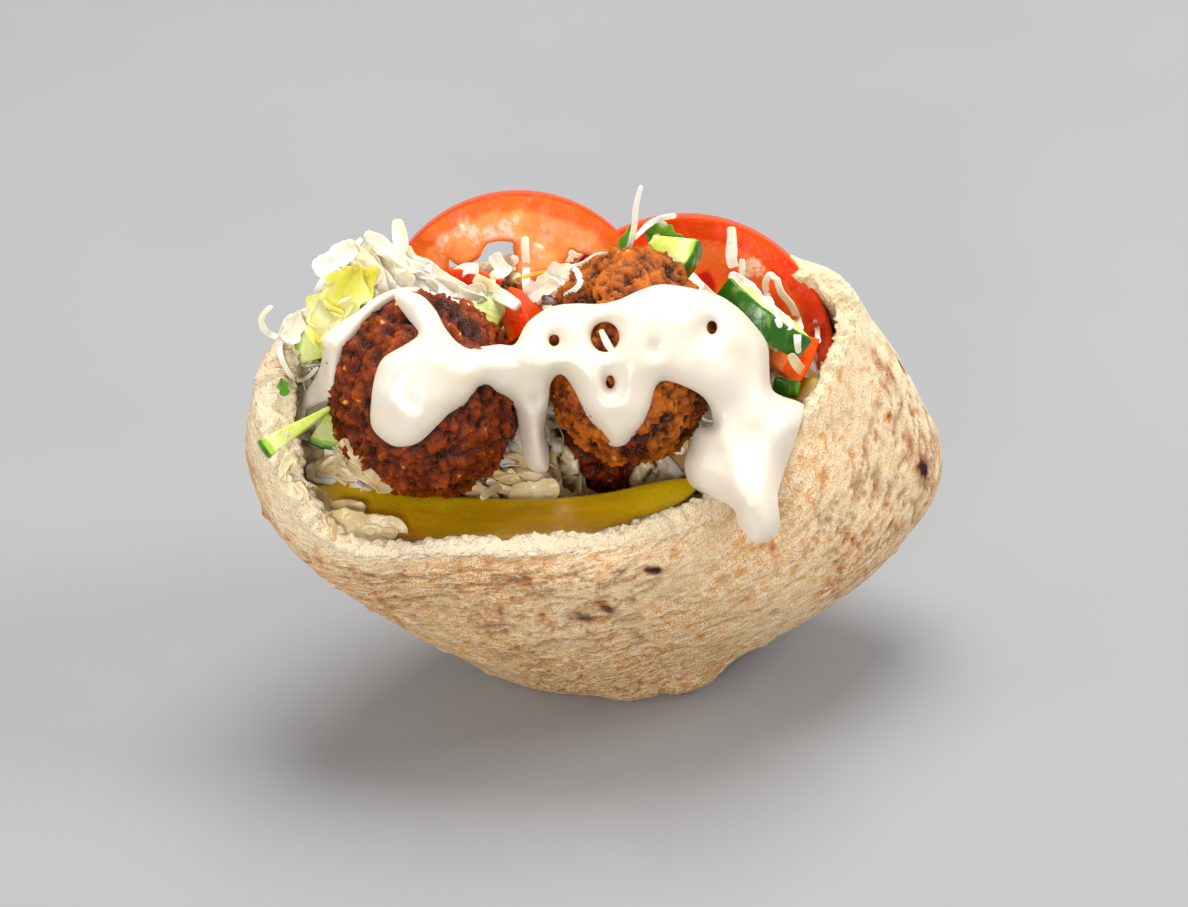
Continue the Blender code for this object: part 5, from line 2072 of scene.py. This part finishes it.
PIECES = (
    Piece(
        "tomato_slice_left", TOMATO, (-17.5, 15, 84), (0.05, -0.92, 0.38), (0, 0.4, 0.9), 33, 0, 200, 6, 0.25,
        openings=(BIG_OPENING, RIGHT_OPENING, HIDDEN_CORNER),
        spots=(
            (24.7, 12.9, 3.4), (21.8, 10.2, 2.2), (24.8, 3.2, 3.4), (27, 13.5, 2.4),
            (22.4, 17.5, 2.6), (20.3, -4.7, 1.6), (26.5, 1.0, 2.2), (22.8, 6.2, 2.4),
        ),
        seeds=((24.7, 12.9, 20), (20.5, -4.6, 60)),
    ),
    Piece(
        "tomato_slice_right", TOMATO, (21.5, 16, 75), (-0.05, -0.93, 0.36), (0.6, 0.3, 0.75), 35, 0, 200, 6,
        0.85, jellies=(UPPER_JELLY, LOWER_JELLY), spots=((27.4, 1.5, 2.6), (26.1, -18.7, 1.4)),
    ),
    Piece(
        "tomato_piece_front", TOMATO, (-16, 3.5, 95), (-0.6, -0.6, 0.6), (0.3, -0.3, 0.9), 30, 23, 25, 9, 1.0
    ),
    Piece(
        "tomato_piece_back", TOMATO, (-27.5, 12.5, 100), (0, -0.9, 0.4), (0.2, 0.3, 0.9), 22, 17.5, 34, 4, 1.0
    ),
    Piece("tomato_piece_right", TOMATO, (45, 4, 85), (0.2, -0.8, 0.55), (0.7, 0.2, -0.6), 25, 15, 28, 6, 0.6),
    Piece("cucumber_left_chunk", CUCUMBER, (-64, -4, 93), (0.15, -0.85, 0.5), (-1, 0, 0.15), 14, 6, 40, 7),
    Piece(
        "cucumber_left_strip", CUCUMBER, (-66.8, -21.5, 81.6), (0.15, -0.7, 0.7), (-0.8, -0.4, -0.35), 23, 5,
        12, 4,
    ),
    Piece("cucumber_left_lower", CUCUMBER, (-60, -13, 75), (0.1, -0.8, 0.6), (-0.2, -0.4, -0.9), 13, 5, 42, 4),
    Piece("cucumber_top_wedge", CUCUMBER, (18, 8, 109.5), (-0.2, -0.6, 0.77), (0.8, -0.2, -0.5), 14, 3, 45, 6),
    Piece("cucumber_right_slice", CUCUMBER, (38.5, 2, 96), (0.62, 0.25, 0.79), (-0.1, -0.9, 0.3), 17, 7, 90, 6),
    Piece("cucumber_right_end", CUCUMBER, (44, 0, 79.5), (0.2, 0.3, 0.95), (0, -0.9, 0.3), 14, 7, 26, 4),
    Piece("cucumber_seed_piece", CUCUMBER, (-24, 4, 96), (0, -0.5, 0.85), (0, 0.6, 0.6), 12, 3, 60, 5, 1.0),
)

FRESH_STRANDS = (
    # the curl that hangs out at the left
    Strand(
        ((-75.5, 34, -12), (-77.5, 32, -11), (-77.5, 30, -10), (-76, 28, -9), (-73, 27, -8), (-70, 28.5, -6)),
        1.5, 0.9,
    ),
    laid(
        1.3, 0.6, 0.6, (-68.5, 30.5, 1), (-71.5, 28.5, 1), (-73, 25, 0.8), (-72.5, 21, 0.8), (-70.5, 17.5, 0.8),
        (-67.5, 17.5, 0.8), (-64.5, 20.5, 0.8),
    ),
    # the blade at the peak
    Strand(((-45.5, 54.5, 10), (-45, 51.5, 9), (-45, 48, 7), (-45.5, 45, 5), (-44.5, 42, 2)), 3.8, 0.45),
    Strand(((-53.5, 51.5, 4), (-50.5, 49.5, 4), (-47, 47, 4), (-43.5, 44, 5), (-39.5, 43, 6)), 3.4, 0.45),
    Strand(((-54, 50, 2), (-56.5, 48, 1), (-59, 47, 0), (-61.5, 46, -2)), 1.3, 0.7),
    Strand(((-61.5, 45.5, -1), (-58.5, 46, 1), (-55.5, 45.5, 1), (-53, 43, 1), (-52, 39.5, 0)), 4.3, 0.45),
    Strand(((-53.5, 48, 3), (-51.5, 45.5, 3), (-50.5, 42.5, 2), (-47.5, 39.5, 1), (-46, 39, 0)), 3.5, 0.45),
    Strand(((-51.5, 48, 5), (-48.5, 46.5, 5), (-46, 44, 5), (-43.5, 40.5, 5), (-39.5, 39.5, 5)), 4.1, 0.45),
    Strand(((-57.5, 45, 0), (-54.5, 44, 0), (-52.5, 42, 0), (-51.5, 39, -1), (-53, 36.5, -2)), 4.6, 0.45),
    Strand(((-62, 42.5, -3), (-60, 44, -2), (-57.5, 44, -1), (-56, 42, -2), (-53, 40, -2)), 3.5, 0.45),
    Strand(((-43, 43, 6), (-44, 40.5, 4), (-46.5, 38.5, 2), (-50, 37.5, 0)), 3.2, 0.45),
    Strand(((-56.5, 38.5, -4), (-55, 39.5, -4), (-54, 38, -4), (-55, 35.5, -5), (-58, 34.5, -6)), 4.1, 0.45),
    Strand(((-61.5, 31, -8), (-60, 32.5, -7), (-58, 35, -7), (-55.5, 34.5, -7), (-57.5, 32, -8)), 3.5, 0.45),
    Strand(((-72.5, 26.5, -8), (-72, 29, -8), (-70.5, 31, -8), (-69.5, 30, -8), (-70.5, 27, -9)), 3.8, 0.45),
    Strand(((-70.5, 27, -8), (-69, 29, -8), (-68, 32, -8), (-66.5, 32.5, -7), (-65.5, 35.5, -6)), 3.2, 0.45),
    Strand(((-65.5, 32.5, -5), (-65.5, 35, -5), (-64.5, 37.5, -4), (-64, 39, -4), (-62, 42, -3)), 1.8, 0.6),
    Strand(((-43.5, 48, 8), (-42, 45, 7), (-39.5, 44, 7), (-37.5, 43.5, 7)), 3, 0.45),
    Strand(((-34, 41, 12), (-31.5, 42, 12), (-29.5, 43, 12), (-27, 43, 12)), 3, 0.45),  # behind the left slice
    Strand(((-43, 44.5, 7), (-39.5, 43.5, 7), (-36, 40.5, 8), (-32, 38.5, 8), (-29, 37.5, 8)), 4.1, 0.45),
    Strand(((-42, 41.5, 5), (-38.5, 39.5, 5), (-34.5, 37.5, 5), (-30, 36, 5), (-25, 35, 5)), 4.6, 0.45),
    # the tall one at the top
    Strand(
        ((11, 62.5, 11.5), (10, 58, 11), (9.5, 52, 10), (8.5, 48, 9), (7, 45.5, 8), (5, 44.5, 7)), 1.35, 0.8,
        twist=0.3,
    ),
    Strand(((19, 55.5, 15), (15.5, 55, 14), (13, 53.5, 12), (11, 51.5, 10.5), (9.5, 50, 10)), 1.4, 0.6),
    Strand(((16.5, 54.5, 14), (14.5, 52.5, 13), (13.5, 50.5, 12)), 3, 0.45),
    # down the right slice
    laid(2.7, 0.5, 0.15, (32, 53, 0.4), (32, 49, 0.4), (32, 45.5, 0.4), (32.5, 43.5, 0.4)),
    laid(1.8, 0.5, 0.2, (34.5, 45.5, 0.5), (34.5, 43.5, 0.5), (34.5, 41.5, 0.5)),
    laid(2.8, 0.8, 0.25, (31.5, 41.5, 3.5), (35.5, 39, 3), (39.8, 35.2, 2.5), (43.5, 32, 2), (46.5, 29.4, 1.5)),
    laid(
        1.7, 0.7, 0.5, (43.5, 29.5, 0.6), (42, 33, 0.9), (40.5, 36.5, 1.2), (40, 39.5, 1.5), (41, 41.5, 1.8),
        (42.5, 40.5, 1.6),
    ),
    laid(
        2, 0.8, 0.5, (42.5, 41, 1.8), (44, 37.5, 1.6), (46.5, 34.5, 1.2), (48, 30.5, 0.9), (47.5, 27, 0.8),
        (48, 23.5, 0.8),
    ),
    laid(1.2, 0.5, 0.2, (51.5, 31, 0.2), (52, 29, 0.2), (52.5, 26, 0.2)),
    # down the left slice
    laid(2, 0.7, 0.15, (-16, 50.5, 0.3), (-16, 46.5, 0.2), (-16, 42, 0.4), (-16, 37.5, 0.6)),
    # the ring
    laid(
        1.4, 0.9, 0.4, (-11, 35, 0.8), (-11.5, 38.5, 0.8), (-10.5, 42, 0.8), (-7.5, 43.5, 0.8), (-4.5, 43, 0.8),
        (-3.5, 40.5, 0.8), (-4.5, 38.5, 0.8), (-7, 37, 0.8),
    ),
    laid(2.6, 0.8, 0.3, (-14.5, 40, 0.8), (-14, 37.5, 0.8), (-13, 35, 0.8)),
    laid(2, 0.7, 0.3, (-11, 42, 1), (-12.5, 39, 1), (-12, 35.5, 1)),
    Strand(((-10.5, 40.5, 11), (-7.5, 41.5, 11), (-3.5, 43, 11), (0, 44.5, 11)), 3.5, 0.45, twist=0.3),
    Strand(((-10, 37.5, 9), (-7, 39.5, 9), (-3.5, 41, 9)), 3.2, 0.45, twist=0.3),
    Strand(((-2.5, 43.5, 10), (1, 45.5, 10), (4.5, 46, 10)), 3, 0.45, twist=0.3),
    laid(1.6, 0.8, 0.3, (1.5, 28.5, 0.5), (3, 25.5, 0.5), (4.5, 23.5, 0.5)),  # inside the hole in the sauce
)
RIB_PLANKS = (
    laid(3.4, 2, 0.15, (-28, 41, 1.6), (-24, 38.5, 1.4), (-20.5, 36, 1.2), (-17.5, 34, 1)),  # rib cut in planks
    laid(2.8, 2.2, 0.1, (-23.5, 41.5, 1.8), (-20.5, 41.5, 1.8), (-17.5, 40.5, 1.8)),
    laid(3, 1.4, 0.1, (-22, 42.5, 1.2), (-20.5, 45, 1.2), (-18.5, 45.5, 1.2)),
    laid(3.6, 1.2, 0.1, (-34, 38, 0.8), (-30, 37, 0.8), (-26, 36, 0.8)),
    laid(3, 1.6, 0.1, (-24, 40, 1), (-22, 38.5, 1), (-20.5, 38, 1)),
    laid(1.1, 1, 0.1, (39.5, 25.5, 0.6), (41, 25, 0.6), (42.5, 24, 0.6)),
)
CARROT_STRANDS = (
    laid(0.95, 0.8, 0.3, (-11, 42.5, 2.2), (-14.5, 41.5, 2), (-17.5, 40.5, 1.9), (-20.5, 38.5, 1.7)),
)
BRINED_STRANDS = (
    laid(
        2.6, 0.32, 0.25, (-73, -6.5, 0.6), (-73, -4.5, 0.6), (-72, -2, 0.6), (-70, -0.5, 0.6), (-67, 0.5, 0.6),
        (-64, -0.5, 0.6), (-60.5, -2, 0.6), (-58.5, -2.5, 0.6),
    ),
    laid(
        2.2, 0.32, 0.3, (-69.5, -3.5, 0.3), (-69, -2.5, 0.3), (-67, -1.5, 0.3), (-65, -3, 0.3),
        (-63, -2.5, 0.3), (-60, -2.5, 0.3),
    ),
    laid(
        1.7, 0.32, 0.25, (-60.5, -3, 0.8), (-60, -0.5, 0.8), (-59, 2, 0.8), (-58, 3, 0.8), (-56.5, 1, 0.8),
        (-55, -1, 0.8),
    ),
    laid(2.2, 0.32, 0.25, (-58, -1, 0.8), (-56, -2.5, 0.8), (-53, -4, 0.8), (-50, -6, 0.8)),
    laid(1.8, 0.32, 0.3, (-57, 1, 0.5), (-55, -1.5, 0.5), (-52.5, -4.5, 0.5), (-50.5, -6, 0.5)),
    laid(3, 0.32, 0.25, (-66.5, -5, 0.2), (-64, -4, 0.2), (-60.5, -4, 0.2), (-57.5, -5, 0.2), (-55, -5.5, 0.2)),
    laid(2.6, 0.32, 0.25, (-64, -4, 0.3), (-60, -2, 0.3), (-58, -4.5, 0.3)),
    laid(3, 0.32, 0.25, (-71.5, -5, 0.4), (-72, -7, 0.4), (-70.5, -8.5, 0.4), (-68, -10, 0.4)),
    laid(3, 0.32, 0.4, (-69.5, -7, 0.4), (-68, -9.5, 0.4), (-67, -11.5, 0.4)),
    laid(3, 0.32, 0.25, (-66, -8, 0.5), (-64, -10, 0.5), (-61.5, -12, 0.5), (-60.5, -13.5, 0.5)),
    laid(1.6, 0.32, 0.25, (-67, -7.5, 0.7), (-65, -8.5, 0.7), (-62.5, -10, 0.7)),
    laid(3.6, 0.32, 0.3, (-61, -14, 0.6), (-59, -12.5, 0.6), (-56.5, -12.5, 0.6), (-53.5, -13.5, 0.6)),
    laid(
        5, 0.6, 0.3, (-63, -16.5, 0.4), (-60, -15.5, 0.4), (-57, -15.5, 0.4), (-53.5, -16.5, 0.4),
        (-50.5, -18, 0.4),
    ),
    laid(
        4.6, 0.6, 0.3, (-61.5, -19, 0.3), (-57.5, -18.5, 0.3), (-53.5, -19, 0.3), (-49.5, -19.5, 0.3),
        (-46.5, -19.5, 0.3),
    ),
    laid(3, 0.32, 0.4, (-51.5, -14.5, 0.5), (-50, -15.5, 0.5), (-48, -18, 0.5), (-46, -19, 0.5)),
    # between the balls
    laid(
        2.4, 0.32, 0.25, (-26.5, -10.5, 0.6), (-22, -7.5, 0.6), (-17.5, -5.5, 0.6), (-12.5, -6, 0.6),
        (-8, -9, 0.6),
    ),
    laid(2.6, 0.32, 0.25, (-25, -6, 0.4), (-21, -8.5, 0.4), (-15, -10, 0.4), (-9, -10, 0.4)),
    laid(2, 0.32, 0.25, (-20, -4, 0.8), (-17.5, -7.5, 0.8), (-15, -10.5, 0.8)),
    laid(2, 0.32, 0.25, (-11.5, -5, 0.8), (-10, -7.5, 0.8), (-6, -9.5, 0.8)),
    laid(2.4, 0.6, 0.3, (45.5, 23, 1), (48, 20, 1), (51.5, 18, 1)),  # at the right, under the cucumber
)


def main() -> None:
    """Builds every piece in order."""
    logging.basicConfig(level=logging.INFO, format="%(message)s")
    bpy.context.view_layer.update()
    table = Table()
    Studio(table).build()
    shape = PocketShape()
    bread = PitaBread(shape, scorches=SCORCHES, toasts=TOASTS, hollows=HOLLOWS, swellings=SWELLINGS).build()
    falafels = FalafelBalls().build()
    vegetables = CutVegetables(PIECES).build()
    pickles = PicklePlanks().build()
    salad = SaladHeap().build()
    filling = [bread, *falafels, *vegetables, *pickles, *salad]
    leaf = LaidLeaves("lettuce_leaf_torn", LETTUCE, "lettuce", LETTUCE_LEAVES, ("lettuce_leaf",), 40)
    torn_leaf = leaf.build(filling)
    LaidStrands("cabbage_strands", CABBAGE, "salad", FRESH_STRANDS).build(filling)
    LaidStrands("cabbage_rib_planks", CABBAGE_RIB, "salad", RIB_PLANKS).build(filling)
    LaidStrands("carrot_strand", CARROT, "salad", CARROT_STRANDS).build(filling)
    LaidStrands("brined_strands", PICKLED_CABBAGE, "salad", BRINED_STRANDS).build(filling)
    LaidLeaves("parsley_pieces", PARSLEY, "salad", PARSLEY_LEAVES).build(filling)
    LaidLeaves("cabbage_leaf_pieces", CABBAGE, "salad", CABBAGE_LEAVES, fineness=20).build(filling)
    LaidLeaves("brined_leaf_pieces", PICKLED_CABBAGE, "salad", BRINED_LEAVES, fineness=20).build(filling)
    PouredSauce((MAIN_POOL, LEFT_POOL)).build([*filling, torn_leaf])


if __name__ == "__main__":
    main()
